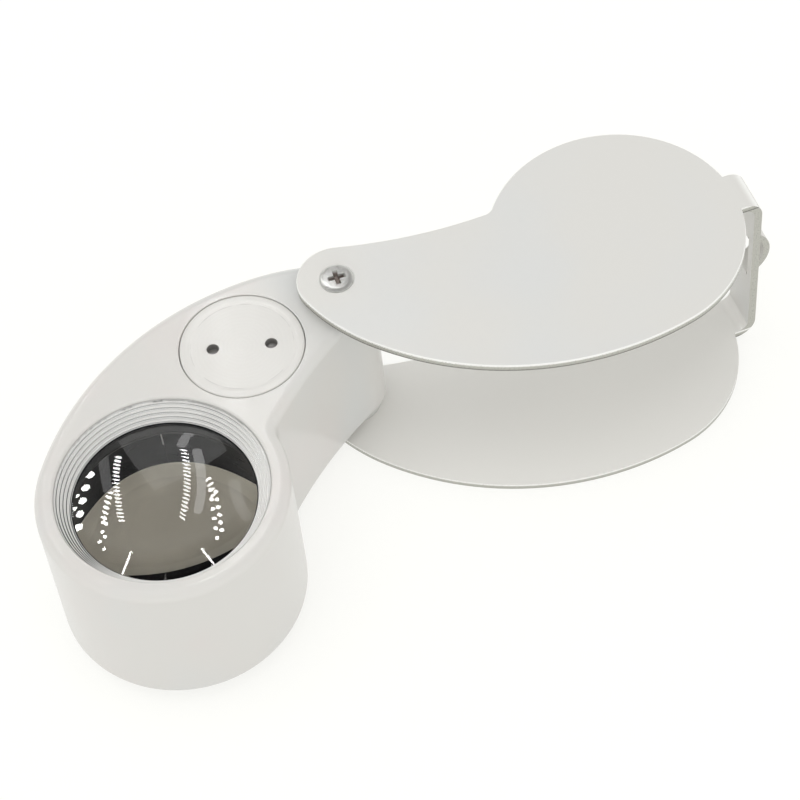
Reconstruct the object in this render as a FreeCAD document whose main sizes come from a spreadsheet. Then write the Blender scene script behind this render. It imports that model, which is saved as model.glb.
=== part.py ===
import FreeCAD, Part
import math
import os
import PartDesign
import Sketcher
from FreeCAD import Placement, Rotation, Vector

# Folding loupe with light, in millimetres and degrees, swung open.
# The origin is the centre of the cover's round end on its lower face, +X runs from the pivot
# to that centre, and +Z is up.

SIZES = (
    # Cover, one bent sheet: its outline is six tangent arcs round the pivot and the round end
    ("sheet_thickness", 1.0),
    ("end_radius", 4.8),
    ("flank_bearing", 30.5),
    ("flank_slack", 0.6),
    ("belly_bearing", 66.0),
    ("waist_radius", 60.0),
    ("waist_lead", 5.8),
    ("corner_radius", 1.5),
    ("plate_edge_radius", 0.2),
    # Bridge strip that joins the plates, and its lanced strap loop
    ("bridge_bearing", 12.0),
    ("bridge_width", 5.3),
    ("bridge_standoff", 2.55),
    ("bridge_overlap", 3.3),
    ("bend_radius", 1.5),
    ("loop_lift", 1.5),
    ("loop_span", 7.4),
    ("loop_width", 2.8),
    ("loop_rise", 2.0),
    ("loop_thickness", 0.8),
    ("lance_gap", 0.15),
    # Pivot
    ("open_angle", 135.0),
    ("running_gap", 0.05),
    ("screw_head_radius", 2.08),
    ("screw_head_proud", 0.35),
    ("screw_head_sunk", 0.1),
    ("countersink_depth", 0.8),
    ("shank_radius", 1.25),
    ("thread_engagement", 6.0),
    ("cross_length", 2.4),
    ("cross_width", 0.55),
    ("cross_depth", 0.7),
    ("bush_radius", 2.2),
    ("washer_radius", 3.5),
    ("washer_thickness", 1.15),
    # Housing: barrel and neck
    ("body_inset", 0.6),
    ("rim_radius", 1.2),
    ("barrel_mouth_radius", 0.3),
    ("lid_mouth_radius", 0.12),
    ("wall_thickness", 1.4),
    ("ledge_width", 1.0),
    ("cavity_height", 6.4),
    ("cavity_lead", 5.6),
    ("cavity_margin", 0.77),
    ("cavity_overlap", 2.0),
    ("base_plate_thickness", 1.2),
    ("heel_bearing", 12.15),
    ("toe_bearing", 63.9),
    # Lens cell
    ("cell_wall", 1.14),
    ("lens_lip", 0.53),
    ("step_height", 0.56),
    ("lip_thickness", 0.56),
    ("lens_radius", 11.3),
    ("lens_edge", 1.2),
    ("lens_bulge", 1.1),
    ("spacer_height", 2.4),
    ("retainer_height", 1.0),
    # Light tube and lamp ring
    ("barrel_wall", 2.7),
    ("bore_ledge", 0.44),
    ("ring_width", 4.0),
    ("ring_recess", 0.4),
    ("ring_flare", 1.2),
    ("lamp_bearing", 20.0),
    ("lamp_radius", 1.5),
    ("lamp_flange_radius", 1.8),
    ("lamp_flange_height", 0.8),
    ("lamp_body_height", 1.7),
    ("lamp_tip_clearance", 0.4),
    ("lead_pitch", 1.27),
    ("lead_channel_depth", 1.8),
    ("wire_radius", 0.25),
    ("wire_bend", 0.5),
    # Battery column
    ("battery_bearing", 12.485),
    ("cap_to_cell_wall", 1.352),
    ("cap_rim_width", 0.74),
    ("cap_rim_height", 1.4),
    ("cap_field_margin", 0.94),
    ("cap_field_depth", 0.1),
    ("cap_spigot_ledge", 0.4),
    ("cap_spigot_height", 1.2),
    ("cap_hollow_clearance", 0.1),
    ("cap_hollow_height", 0.8),
    ("spanner_spacing", 6.9),
    ("spanner_radius", 0.72),
    ("spanner_depth", 1.0),
    ("spanner_bearing", -49.3),
    ("seal_radius", 0.3),
    ("button_radius", 5.8),
    ("button_height", 3.05),
    ("button_rim", 0.35),
    ("contact_margin", 0.4),
    ("contact_pad_radius", 1.6),
    ("contact_thickness", 0.2),
    ("contact_height", 1.65),
    ("sleeve_thickness", 0.45),
    ("sleeve_lip", 1.2),
    ("sleeve_lip_height", 0.5),
    ("spring_wire_radius", 0.3),
    ("spring_height", 4.95),
    ("spring_taper", 1.5),
    ("spring_margin", 0.45),
    # Circuit board and base plate fixings
    ("board_ledge", 0.1),
    ("board_thickness", 1.0),
    ("board_height", 3.0),
    ("board_post_radius", 0.8),
    ("board_post_margin", 1.1),
    ("resistor_radius", 0.8),
    ("resistor_length", 3.4),
    ("resistor_margin", 0.98),
    ("landing_margin", 1.2),
    ("lamp_wire_bearing", 21.0),
    ("lamp_wire_angle", 9.0),
    ("switch_wire_bearing", -72.0),
    ("switch_wire_angle", 14.0),
    ("base_screw_radius", 0.7),
    ("base_screw_length", 3.4),
    ("base_screw_head_radius", 1.25),
    ("base_screw_head_height", 0.6),
    ("base_boss_radius", 1.5),
    ("heel_screw_setback", 2.8),
    ("toe_screw_setback", 2.0),
    ("base_screw_edge", 1.86),
    # Slide switch on the neck's convex flank
    ("switch_tuck", 2.403),
    ("switch_length", 6.7),
    ("switch_depth", 2.7),
    ("switch_height", 3.4),
    ("switch_wall", 0.4),
    ("switch_setback", 1.5),
    ("switch_travel", 3.0),
    ("contact_pitch", 1.5),
    ("slider_length", 2.4),
    ("slider_depth", 1.1),
    ("stem_length", 1.6),
    ("stem_height", 1.2),
    ("knob_length", 4.0),
    ("knob_height", 2.4),
    ("knob_thickness", 1.0),
    ("knob_recess", 0.6),
    ("knob_margin", 0.2),
    ("groove_width", 0.35),
    ("groove_depth", 0.3),
    ("groove_pitch", 0.9),
    # One overrun serves every cut that runs past a face
    ("overrun", 1.0),
)

EYEPIECE_STEPS = 5
BUTTON_CELLS = 3
SPRING_TURNS = 4
KNOB_GROOVES = 3
BOARD_POSTS = 3
SWITCH_WIRES = 3


class Size:
    """A number together with the sheet formula that gives it."""

    def __init__(self, value, formula):
        self.value = value
        self.formula = formula

    def __add__(self, other):
        other = as_size(other)
        return Size(self.value + other.value, f"({self.formula} + {other.formula})")

    def __sub__(self, other):
        other = as_size(other)
        return Size(self.value - other.value, f"({self.formula} - {other.formula})")

    def __mul__(self, other):
        other = as_size(other)
        return Size(self.value * other.value, f"({self.formula} * {other.formula})")

    def __truediv__(self, other):
        other = as_size(other)
        return Size(self.value / other.value, f"({self.formula} / {other.formula})")

    def __neg__(self):
        return Size(-self.value, f"(0 - {self.formula})")


def as_size(number):
    """The number as a Size, so that counts and shares mix with named sizes."""
    return number if isinstance(number, Size) else Size(float(number), repr(number))


def root(size):
    return Size(math.sqrt(size.value), f"sqrt({size.formula})")


def sine(angle):
    return Size(math.sin(math.radians(angle.value)), f"sin({angle.formula})")


def cosine(angle):
    return Size(math.cos(math.radians(angle.value)), f"cos({angle.formula})")


def bearing_of(x, y):
    return Size(math.degrees(math.atan2(y.value, x.value)), f"atan2({y.formula}; {x.formula})")


ZERO = as_size(0)

doc = FreeCAD.newDocument("FoldingLoupe")
sheet = doc.addObject("Spreadsheet::Sheet", "Sizes")
for row, (alias, number) in enumerate(SIZES, start=1):
    sheet.set(f"A{row}", alias.replace("_", " "))
    sheet.set(f"B{row}", repr(number))
    sheet.setAlias(f"B{row}", alias)
doc.recompute()

S = {alias: Size(float(sheet.get(alias)), f"Sizes.{alias}") for alias, number in SIZES}


# Drawing helpers


def bind(thing, path, size):
    """Set a property of a document object from the sheet."""
    thing.setExpression(path, size.formula)


def dimension(sketch, name, constraint, size):
    """Add a dimension to a sketch and tie it to the sheet."""
    index = sketch.addConstraint(constraint)
    sketch.renameConstraint(index, name)
    bind(sketch, f"Constraints.{name}", size)


def pin_point(sketch, name, shape, point, x, y):
    """Fix a point of a sketch at two sizes from the sketch's origin."""
    if x is ZERO:
        sketch.addConstraint(Sketcher.Constraint("PointOnObject", shape, point, -2))
    else:
        across = Sketcher.Constraint("DistanceX", -1, 1, shape, point, x.value)
        dimension(sketch, f"{name}_across", across, x)
    if y is ZERO:
        sketch.addConstraint(Sketcher.Constraint("PointOnObject", shape, point, -1))
    else:
        along = Sketcher.Constraint("DistanceY", -1, 1, shape, point, y.value)
        dimension(sketch, f"{name}_along", along, y)


def new_body(label):
    body = doc.addObject("PartDesign::Body", label)
    body.Label = label
    return body


def sketch_on(body, role, name, height=ZERO):
    """A sketch on one of the body's origin planes, lifted along the plane's normal."""
    plane = next(item for item in body.Origin.OriginFeatures if item.Role == role)
    sketch = body.newObject("Sketcher::SketchObject", name)
    sketch.AttachmentSupport = [(plane, "")]
    sketch.MapMode = "FlatFace"
    if height is not ZERO:
        bind(sketch, "AttachmentOffset.Base.z", height)
    return sketch


def turned_sketch(body, name, bearing, x, y):
    """An upright sketch that runs along a bearing, its origin over the point x, y."""
    sketch = sketch_on(body, "XZ_Plane", name)
    sketch.AttachmentOffset = Placement(Vector(), Rotation(Vector(0, 1, 0), 1))
    bind(sketch, "AttachmentOffset.Base.x", x)
    bind(sketch, "AttachmentOffset.Base.z", -y)
    bind(sketch, "AttachmentOffset.Rotation.Angle", bearing)
    return sketch


def arc_between(start, end, radius):
    """The lesser arc that goes anticlockwise from one point to another."""
    chord = end - start
    side = Vector(-chord.y, chord.x, 0).normalize()
    rise = math.sqrt(max(radius * radius - chord.Length * chord.Length / 4, 0))
    centre = start + chord / 2 + side * rise
    first = math.atan2(start.y - centre.y, start.x - centre.x)
    last = math.atan2(end.y - centre.y, end.x - centre.x)
    return Part.ArcOfCircle(Part.Circle(centre, Vector(0, 0, 1), radius), first, last)


def draw_path(sketch, corners, prefix="corner", closed=True):
    """Draw an anticlockwise outline, or an open path.

    A corner is (x, y), or (x, y, radius, bulge) where an arc leaves it: out of the outline
    where bulge is 1, into it where bulge is -1.
    """
    points = [Vector(corner[0].value, corner[1].value, 0) for corner in corners]
    edges = []
    for index, corner in enumerate(corners if closed else corners[:-1]):
        start = points[index]
        end = points[(index + 1) % len(points)]
        if len(corner) == 2:
            edges.append((sketch.addGeometry(Part.LineSegment(start, end)), 1, 2))
        elif corner[3] > 0:
            edges.append((sketch.addGeometry(arc_between(start, end, corner[2].value)), 1, 2))
        else:
            edges.append((sketch.addGeometry(arc_between(end, start, corner[2].value)), 2, 1))
    for index, (edge, first, last) in enumerate(edges):
        corner = corners[index]
        before, before_first, before_last = edges[index - 1]
        if closed or index > 0:
            joint = Sketcher.Constraint("Coincident", before, before_last, edge, first)
            sketch.addConstraint(joint)
        pin_point(sketch, f"{prefix}_{index}", edge, first, corner[0], corner[1])
        if len(corner) == 4:
            radius = Sketcher.Constraint("Radius", edge, corner[2].value)
            dimension(sketch, f"{prefix}_{index}_radius", radius, corner[2])
    if not closed:
        pin_point(sketch, f"{prefix}_end", edge, last, corners[-1][0], corners[-1][1])


def draw_box(sketch, left, right, low, high, prefix="box"):
    draw_path(sketch, [(left, low), (right, low), (right, high), (left, high)], prefix)


def draw_circle(sketch, name, x, y, radius):
    circle = Part.Circle(Vector(x.value, y.value, 0), Vector(0, 0, 1), radius.value)
    index = sketch.addGeometry(circle)
    dimension(sketch, f"{name}_radius", Sketcher.Constraint("Radius", index, radius.value), radius)
    pin_point(sketch, name, index, 3, x, y)


def pad(body, sketch, length, upward=True):
    feature = body.newObject("PartDesign::Pad", sketch.Name + "_pad")
    feature.Profile = sketch
    feature.Reversed = not upward
    bind(feature, "Length", length)
    return feature


def pocket(body, sketch, depth, upward=False):
    feature = body.newObject("PartDesign::Pocket", sketch.Name + "_pocket")
    feature.Profile = sketch
    feature.Reversed = upward
    bind(feature, "Length", depth)
    return feature


def revolve(body, sketch, kind="PartDesign::Revolution"):
    feature = body.newObject(kind, sketch.Name + "_turn")
    feature.Profile = sketch
    feature.ReferenceAxis = (sketch, ["V_Axis"])
    feature.Angle = 360
    return feature


def turned(label, corners):
    """A turned piece about its own Z axis, from one half of its section."""
    body = new_body(label)
    section = sketch_on(body, "XZ_Plane", label + "_section")
    draw_path(section, corners)
    revolve(body, section)
    return body


def round_edges(body, feature, name, radius, heights):
    """Round every curved edge that lies level at one of the heights."""
    doc.recompute()
    near = radius.value / 100
    chosen = []
    for index, edge in enumerate(feature.Shape.Edges, start=1):
        box = edge.BoundBox
        curved = edge.Curve.TypeId == "Part::GeomCircle" and box.ZLength < near
        if curved and any(abs(box.ZMin - height.value) < near for height in heights):
            chosen.append(f"Edge{index}")
    fillet = body.newObject("PartDesign::Fillet", name)
    fillet.Base = (feature, chosen)
    bind(fillet, "Radius", radius)
    return fillet


def seat(thing, x=ZERO, y=ZERO, z=ZERO, turn=ZERO):
    """Place a piece in the swung loupe body.

    x runs from the pivot to the barrel, y to the concave side.
    """
    swing = S["open_angle"]
    thing.Placement = Placement(Vector(), Rotation(Vector(0, 0, 1), 1))
    bind(thing, "Placement.Base.x", x * cosine(swing) + y * sine(swing) - PIVOT_REACH)
    bind(thing, "Placement.Base.y", y * cosine(swing) - x * sine(swing))
    bind(thing, "Placement.Base.z", z)
    bind(thing, "Placement.Rotation.Angle", turn - swing)


def add_wire(body, name, start, end, lift):
    """A wire that rises from its start to a height, crosses level and drops to its end."""
    start_x, start_y, start_z = start
    end_x, end_y, end_z = end
    section = sketch_on(body, "XY_Plane", name + "_section", start_z)
    draw_circle(section, "wire", start_x, start_y, S["wire_radius"])
    across = end_x - start_x
    aside = end_y - start_y
    reach = root(across * across + aside * aside)
    path = turned_sketch(body, name + "_path", bearing_of(across, aside), start_x, start_y)
    bend = S["wire_bend"]
    way = 1 if start_z.value > lift.value else -1
    draw_path(
        path,
        [
            (ZERO, start_z),
            (ZERO, lift + bend * way, bend, way),
            (bend, lift),
            (reach - bend, lift, bend, -1),
            (reach, lift - bend),
            (reach, end_z),
        ],
        closed=False,
    )
    wire = body.newObject("PartDesign::AdditivePipe", name)
    wire.Profile = section
    wire.Spine = (path, [])
    return wire


# Radii that follow from the lenses and from the button cells

GAP = S["running_gap"]
CELL_RADIUS = S["lens_radius"] + S["cell_wall"]
APERTURE_RADIUS = S["lens_radius"] - S["lens_lip"]
BORE_RADIUS = CELL_RADIUS - S["bore_ledge"]
ROUND_RADIUS = BORE_RADIUS + S["barrel_wall"] + S["body_inset"]
RING_OPENING = BORE_RADIUS - S["ring_width"]
LAMP_REACH = (BORE_RADIUS + RING_OPENING) / 2
SLEEVE_BORE = S["button_radius"] + GAP
WELL_RADIUS = SLEEVE_BORE + S["sleeve_thickness"]
CAP_SPIGOT_RADIUS = WELL_RADIUS + S["cap_spigot_ledge"]
CAP_RADIUS = CAP_SPIGOT_RADIUS + S["cap_rim_width"]
CAP_FIELD_RADIUS = CAP_RADIUS - S["cap_field_margin"]
CAP_HOLLOW_RADIUS = S["button_radius"] + S["cap_hollow_clearance"]
CONTACT_RADIUS = S["button_radius"] - S["contact_margin"]
BOARD_RADIUS = WELL_RADIUS + S["board_ledge"]
SPRING_BASE_RADIUS = SLEEVE_BORE - S["sleeve_lip"] - S["spring_margin"]
SPRING_TOP_RADIUS = SPRING_BASE_RADIUS - S["spring_taper"]
BRIDGE_REACH = ROUND_RADIUS + S["bridge_standoff"]
BRIDGE_ROOT = ROUND_RADIUS - S["bridge_overlap"]

# Heights that more than one piece shares: the battery column sets the body's, and the body the cover's

BODY_BASE = S["sheet_thickness"] + GAP + S["washer_thickness"]
BOARD_BASE = BODY_BASE + S["board_height"]
BOARD_TOP = BOARD_BASE + S["board_thickness"]
CELL_STACK_BASE = BOARD_TOP + S["spring_height"]
CELL_STACK_TOP = CELL_STACK_BASE + S["button_height"] * BUTTON_CELLS
HOLLOW_ROOF = CELL_STACK_TOP + S["contact_height"] + GAP
SPIGOT_BASE = HOLLOW_ROOF - S["cap_hollow_height"]
CAP_SHOULDER = SPIGOT_BASE + S["cap_spigot_height"]
CAP_LEDGE = CAP_SHOULDER - S["seal_radius"] * 2
SLEEVE_TOP = SPIGOT_BASE - GAP * 2
BODY_TOP = CAP_SHOULDER + S["cap_rim_height"]
BODY_HEIGHT = BODY_TOP - BODY_BASE
COVER_HEIGHT = BODY_TOP + BODY_BASE
COVER_MIDDLE = COVER_HEIGHT / 2
LOOP_MIDDLE = COVER_MIDDLE + S["loop_lift"]
PLATE_UNDERSIDE = COVER_HEIGHT - S["sheet_thickness"]
CAVITY_ROOF = BODY_BASE + S["cavity_height"]
BASE_PLATE_TOP = BODY_BASE + S["base_plate_thickness"]
LENS_SEAT = BODY_TOP - S["step_height"] * (EYEPIECE_STEPS - 1) - S["lip_thickness"]
EYE_LENS_BASE = LENS_SEAT - S["lens_edge"]
SPACER_BASE = EYE_LENS_BASE - S["spacer_height"]
FIELD_LENS_BASE = SPACER_BASE - S["lens_edge"]
CELL_BASE = FIELD_LENS_BASE - S["retainer_height"]

# Places along the body: the battery stands clear of the pivot, and the barrel clear of the battery

BATTERY_REACH = CELL_RADIUS + CAP_RADIUS + S["cap_to_cell_wall"]
BATTERY_LEAD = S["cavity_lead"] + S["cavity_margin"] + BOARD_RADIUS
BATTERY_ASIDE = -(BATTERY_REACH * sine(S["battery_bearing"]))
PIVOT_REACH = BATTERY_LEAD + BATTERY_REACH * cosine(S["battery_bearing"])

# Radii and centres of the outline's large arcs, from the pivot along the cover or the body.
# The belly arc touches the round end and passes the narrow end with some slack, which the flank
# arc takes up.

END_GAP = ROUND_RADIUS - S["end_radius"] - S["flank_slack"]
BELLY_RUN = PIVOT_REACH * cosine(S["belly_bearing"])
BELLY_GAP = (PIVOT_REACH * PIVOT_REACH - END_GAP * END_GAP) / ((END_GAP + BELLY_RUN) * 2)
BELLY_RADIUS = ROUND_RADIUS + BELLY_GAP
BELLY_SETBACK = BELLY_GAP * cosine(S["belly_bearing"])
BELLY_X = PIVOT_REACH - BELLY_SETBACK
BELLY_Y = BELLY_GAP * sine(S["belly_bearing"])
END_TO_BELLY = BELLY_RADIUS - S["end_radius"]
FLANK_RUN = BELLY_X * cosine(S["flank_bearing"]) + BELLY_Y * sine(S["flank_bearing"])
FLANK_SPAN = S["flank_slack"] * (END_TO_BELLY * 2 - S["flank_slack"])
FLANK_RADIUS = S["end_radius"] + FLANK_SPAN / ((END_TO_BELLY - FLANK_RUN) * 2)
WAIST_X = S["waist_lead"]
WAIST_GAP = S["waist_radius"] + S["end_radius"]
WAIST_Y = root(WAIST_GAP * WAIST_GAP - WAIST_X * WAIST_X)

# The switch's bearing about the belly arc's centre keeps it beside the battery well

BATTERY_TO_BELLY_X = BATTERY_LEAD - BELLY_X
BATTERY_TO_BELLY_Y = BELLY_Y - BATTERY_ASIDE
BATTERY_TO_BELLY = root(
    BATTERY_TO_BELLY_X * BATTERY_TO_BELLY_X + BATTERY_TO_BELLY_Y * BATTERY_TO_BELLY_Y
)
SWITCH_ASIDE = WELL_RADIUS + S["switch_length"] / 2 - S["switch_tuck"]
SWITCH_RUN = root(BATTERY_TO_BELLY * BATTERY_TO_BELLY - SWITCH_ASIDE * SWITCH_ASIDE)
WELL_BEARING = bearing_of(BATTERY_TO_BELLY_Y, BATTERY_TO_BELLY_X)
SWITCH_BEARING = WELL_BEARING + bearing_of(SWITCH_RUN, SWITCH_ASIDE)

# Limits of the neck's cavity and base plate

BASE_PLATE_INSET = S["body_inset"] + S["wall_thickness"]
BARREL_WALL_RADIUS = BORE_RADIUS + S["wall_thickness"]
BASE_PLATE_HEEL = PIVOT_REACH - BARREL_WALL_RADIUS * cosine(S["heel_bearing"])
BASE_PLATE_TOE = PIVOT_REACH - BARREL_WALL_RADIUS * cosine(S["toe_bearing"])
CAVITY_START = S["cavity_lead"]
CAVITY_END = PIVOT_REACH - BORE_RADIUS + S["cavity_overlap"]


def circles_meet(first, first_radius, second, second_radius, side):
    """Where two circles cross, on the left (1) or right (-1) of the line between centres."""
    line = second - first
    along = (first_radius**2 - second_radius**2 + line.Length**2) / (2 * line.Length)
    aside = math.sqrt(max(first_radius**2 - along**2, 0))
    unit = line / line.Length
    return first + unit * along + Vector(-unit.y, unit.x, 0) * aside * side


def draw_outline(sketch, pivot_x, inset=ZERO):
    """The comma outline, drawn in by an inset: end, flank, belly, round, corner and waist arcs."""
    pivot = Vector(pivot_x.value, 0, 0)
    disc = pivot + Vector(PIVOT_REACH.value, 0, 0)
    belly = pivot + Vector(BELLY_X.value, BELLY_Y.value, 0)
    waist = pivot + Vector(WAIST_X.value, WAIST_Y.value, 0)
    flank_gap = FLANK_RADIUS.value - S["end_radius"].value
    belly_gap = BELLY_RADIUS.value - FLANK_RADIUS.value
    flank = circles_meet(pivot, flank_gap, belly, belly_gap, -1)
    corner_gap = ROUND_RADIUS.value + S["corner_radius"].value
    waist_gap = S["waist_radius"].value - S["corner_radius"].value
    corner = circles_meet(waist, waist_gap, disc, corner_gap, -1)
    radii = [
        S["end_radius"] - inset,
        FLANK_RADIUS - inset,
        BELLY_RADIUS - inset,
        ROUND_RADIUS - inset,
        S["corner_radius"] + inset,
        S["waist_radius"] + inset,
    ]
    centres = [pivot, flank, belly, disc, corner, waist]
    headings = [
        (waist - pivot, pivot - flank),
        (pivot - flank, flank - belly),
        (flank - belly, disc - belly),
        (disc - belly, corner - disc),
        (corner - waist, disc - corner),
        (pivot - waist, corner - waist),
    ]
    for centre, radius, (first, last) in zip(centres, radii, headings):
        start = math.atan2(first.y, first.x)
        end = math.atan2(last.y, last.x)
        circle = Part.Circle(centre, Vector(0, 0, 1), radius.value)
        sketch.addGeometry(Part.ArcOfCircle(circle, start, end))
    for first, first_end, second, second_end in (
        (0, 2, 1, 1),
        (1, 2, 2, 1),
        (2, 2, 3, 1),
        (3, 2, 4, 2),
        (4, 1, 5, 2),
        (5, 1, 0, 1),
    ):
        sketch.addConstraint(Sketcher.Constraint("Tangent", first, first_end, second, second_end))
    names = ("end", "flank", "belly", "round", "corner", "waist")
    for index, (name, radius) in enumerate(zip(names, radii)):
        dimension(sketch, name, Sketcher.Constraint("Radius", index, radius.value), radius)
    pin_point(sketch, "pivot", 0, 3, pivot_x, ZERO)
    reach = Sketcher.Constraint("DistanceX", 0, 3, 3, 3, PIVOT_REACH.value)
    dimension(sketch, "reach", reach, PIVOT_REACH)
    sketch.addConstraint(Sketcher.Constraint("PointOnObject", 3, 3, -1))
    setback = Sketcher.Constraint("DistanceX", 2, 3, 3, 3, BELLY_SETBACK.value)
    dimension(sketch, "setback", setback, BELLY_SETBACK)
    lead = Sketcher.Constraint("DistanceX", 0, 3, 5, 3, S["waist_lead"].value)
    dimension(sketch, "lead", lead, S["waist_lead"])


# Cover


def bridge_section(sketch):
    """Section of the bridge strip: two tabs, two bends and the upright between them."""
    top = COVER_HEIGHT
    sheet_gauge = S["sheet_thickness"]
    outer = BRIDGE_REACH
    inner = outer - sheet_gauge
    outer_bend = S["bend_radius"] + sheet_gauge
    bend_start = outer - outer_bend
    draw_path(
        sketch,
        [
            (BRIDGE_ROOT, ZERO),
            (bend_start, ZERO, outer_bend, 1),
            (outer, outer_bend),
            (outer, top - outer_bend, outer_bend, 1),
            (bend_start, top),
            (BRIDGE_ROOT, top),
            (BRIDGE_ROOT, top - sheet_gauge),
            (bend_start, top - sheet_gauge, S["bend_radius"], -1),
            (inner, top - outer_bend),
            (inner, outer_bend, S["bend_radius"], -1),
            (bend_start, sheet_gauge),
            (BRIDGE_ROOT, sheet_gauge),
        ],
    )


def strap_loop_section(sketch):
    """Section of the pressed-out loop: a band between two concentric arcs."""
    half_span = S["loop_span"] / 2
    rise = S["loop_rise"]
    outer_radius = (half_span * half_span + rise * rise) / (rise * 2)
    inner_radius = outer_radius - S["loop_thickness"]
    face = BRIDGE_REACH - S["sheet_thickness"]
    depth = face - (BRIDGE_REACH + rise - outer_radius)
    outer_half = root(outer_radius * outer_radius - depth * depth)
    inner_half = root(inner_radius * inner_radius - depth * depth)
    draw_path(
        sketch,
        [
            (face, LOOP_MIDDLE - outer_half, outer_radius, 1),
            (face, LOOP_MIDDLE + outer_half),
            (face, LOOP_MIDDLE + inner_half, inner_radius, -1),
            (face, LOOP_MIDDLE - inner_half),
        ],
    )


def bridge_sketch(body, name, width):
    """A sketch along the bridge's bearing, set to one side by half of a width."""
    bearing = S["bridge_bearing"]
    x = -(sine(bearing) * width / 2)
    y = cosine(bearing) * width / 2
    return turned_sketch(body, name, bearing, x, y)


def make_cover():
    cover = new_body("cover")
    strip = bridge_sketch(cover, "bridge", S["bridge_width"])
    bridge_section(strip)
    pad(cover, strip, S["bridge_width"])
    for name, height in (("lower_plate", ZERO), ("upper_plate", PLATE_UNDERSIDE)):
        plate = sketch_on(cover, "XY_Plane", name, height)
        draw_outline(plate, -PIVOT_REACH)
        plates = pad(cover, plate, S["sheet_thickness"])
    round_edges(cover, plates, "plate_edges", S["plate_edge_radius"], (ZERO, COVER_HEIGHT))
    window_width = S["loop_width"] + S["lance_gap"] * 2
    window = bridge_sketch(cover, "loop_window", window_width)
    half_span = S["loop_span"] / 2
    inner = BRIDGE_REACH - S["sheet_thickness"] - S["overrun"]
    outer = BRIDGE_REACH + S["overrun"]
    draw_box(window, inner, outer, LOOP_MIDDLE - half_span, LOOP_MIDDLE + half_span)
    pocket(cover, window, window_width, upward=True)
    loop = bridge_sketch(cover, "strap_loop", S["loop_width"])
    strap_loop_section(loop)
    pad(cover, loop, S["loop_width"])
    holes = sketch_on(cover, "XZ_Plane", "screw_seats")
    bind(holes, "AttachmentOffset.Base.x", -PIVOT_REACH)
    shank = S["shank_radius"] + GAP
    head = S["screw_head_radius"] + GAP
    low = S["countersink_depth"]
    top = COVER_HEIGHT
    draw_path(
        holes,
        [
            (ZERO, -S["overrun"]),
            (head, -S["overrun"]),
            (head, ZERO),
            (shank, low),
            (shank, top - low),
            (head, top),
            (head, top + S["overrun"]),
            (ZERO, top + S["overrun"]),
        ],
    )
    revolve(cover, holes, "PartDesign::Groove")
    return cover


# Pivot


def make_pivot_screw(label, face, outward, proud):
    """A countersunk screw whose seat opens at a plate's outer face."""
    head_top = face + proud * outward
    cone_base = face - S["countersink_depth"] * outward
    tip = BODY_TOP if outward > 0 else BODY_BASE
    tip = tip - S["thread_engagement"] * outward
    corners = [
        (ZERO, tip),
        (S["shank_radius"], tip),
        (S["shank_radius"], cone_base),
    ]
    if proud.value > 0:
        corners.append((S["screw_head_radius"], face))
        corners.append((S["screw_head_radius"], head_top))
    else:
        flare = (S["screw_head_radius"] - S["shank_radius"]) / S["countersink_depth"]
        corners.append((S["screw_head_radius"] + proud * flare, head_top))
    corners.append((ZERO, head_top))
    screw = turned(label, corners)
    cross = sketch_on(screw, "XY_Plane", label + "_cross", head_top)
    half = S["cross_length"] / 2
    arm = S["cross_width"] / 2
    draw_path(
        cross,
        [
            (-arm, -half),
            (arm, -half),
            (arm, -arm),
            (half, -arm),
            (half, arm),
            (arm, arm),
            (arm, half),
            (-arm, half),
            (-arm, arm),
            (-half, arm),
            (-half, -arm),
            (-arm, -arm),
        ],
    )
    pocket(screw, cross, S["cross_depth"], upward=outward < 0)
    seat(screw)
    return screw


def make_ring(label, inner, outer, low, high, x=ZERO, y=ZERO):
    """A plain turned ring."""
    ring = turned(label, [(inner, low), (outer, low), (outer, high), (inner, high)])
    seat(ring, x, y)
    return ring


def make_pivot():
    washer_hole = S["shank_radius"] + GAP
    plate_gap = S["sheet_thickness"] + GAP
    return [
        make_pivot_screw("pivot_screw_top", COVER_HEIGHT, 1, S["screw_head_proud"]),
        make_pivot_screw("pivot_screw_bottom", ZERO, -1, -S["screw_head_sunk"]),
        make_ring("pivot_bush", S["shank_radius"], S["bush_radius"], BODY_BASE, BODY_TOP),
        make_ring(
            "friction_washer_top", washer_hole, S["washer_radius"], BODY_TOP, PLATE_UNDERSIDE - GAP
        ),
        make_ring("friction_washer_bottom", washer_hole, S["washer_radius"], plate_gap, BODY_BASE),
    ]


# Housing


def belly_at(x, inset):
    """Height of the convex flank's inset arc at a distance from the pivot."""
    radius = BELLY_RADIUS - inset
    return BELLY_Y - root(radius * radius - (x - BELLY_X) * (x - BELLY_X))


def waist_at(x, inset):
    """Height of the concave flank's inset arc at a distance from the pivot."""
    radius = S["waist_radius"] + inset
    return WAIST_Y - root(radius * radius - (x - WAIST_X) * (x - WAIST_X))


def barrel_at(x, radius):
    """Half chord of a circle about the barrel axis at a distance from the pivot."""
    offset = PIVOT_REACH - x
    return root(radius * radius - offset * offset)


def draw_base_plate(sketch, margin):
    """The neck's lower cover, drawn in by a margin on its flanks."""
    inset = BASE_PLATE_INSET + margin
    start = CAVITY_START - S["ledge_width"] + margin
    toe = BASE_PLATE_TOE - margin
    draw_path(
        sketch,
        [
            (start, belly_at(start, inset), BELLY_RADIUS - inset, 1),
            (toe, belly_at(toe, inset)),
            (toe, -barrel_at(toe, BARREL_WALL_RADIUS), BARREL_WALL_RADIUS, -1),
            (BASE_PLATE_HEEL, barrel_at(BASE_PLATE_HEEL, BARREL_WALL_RADIUS)),
            (BASE_PLATE_HEEL, waist_at(BASE_PLATE_HEEL, inset), S["waist_radius"] + inset, -1),
            (start, waist_at(start, inset)),
        ],
    )


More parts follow.
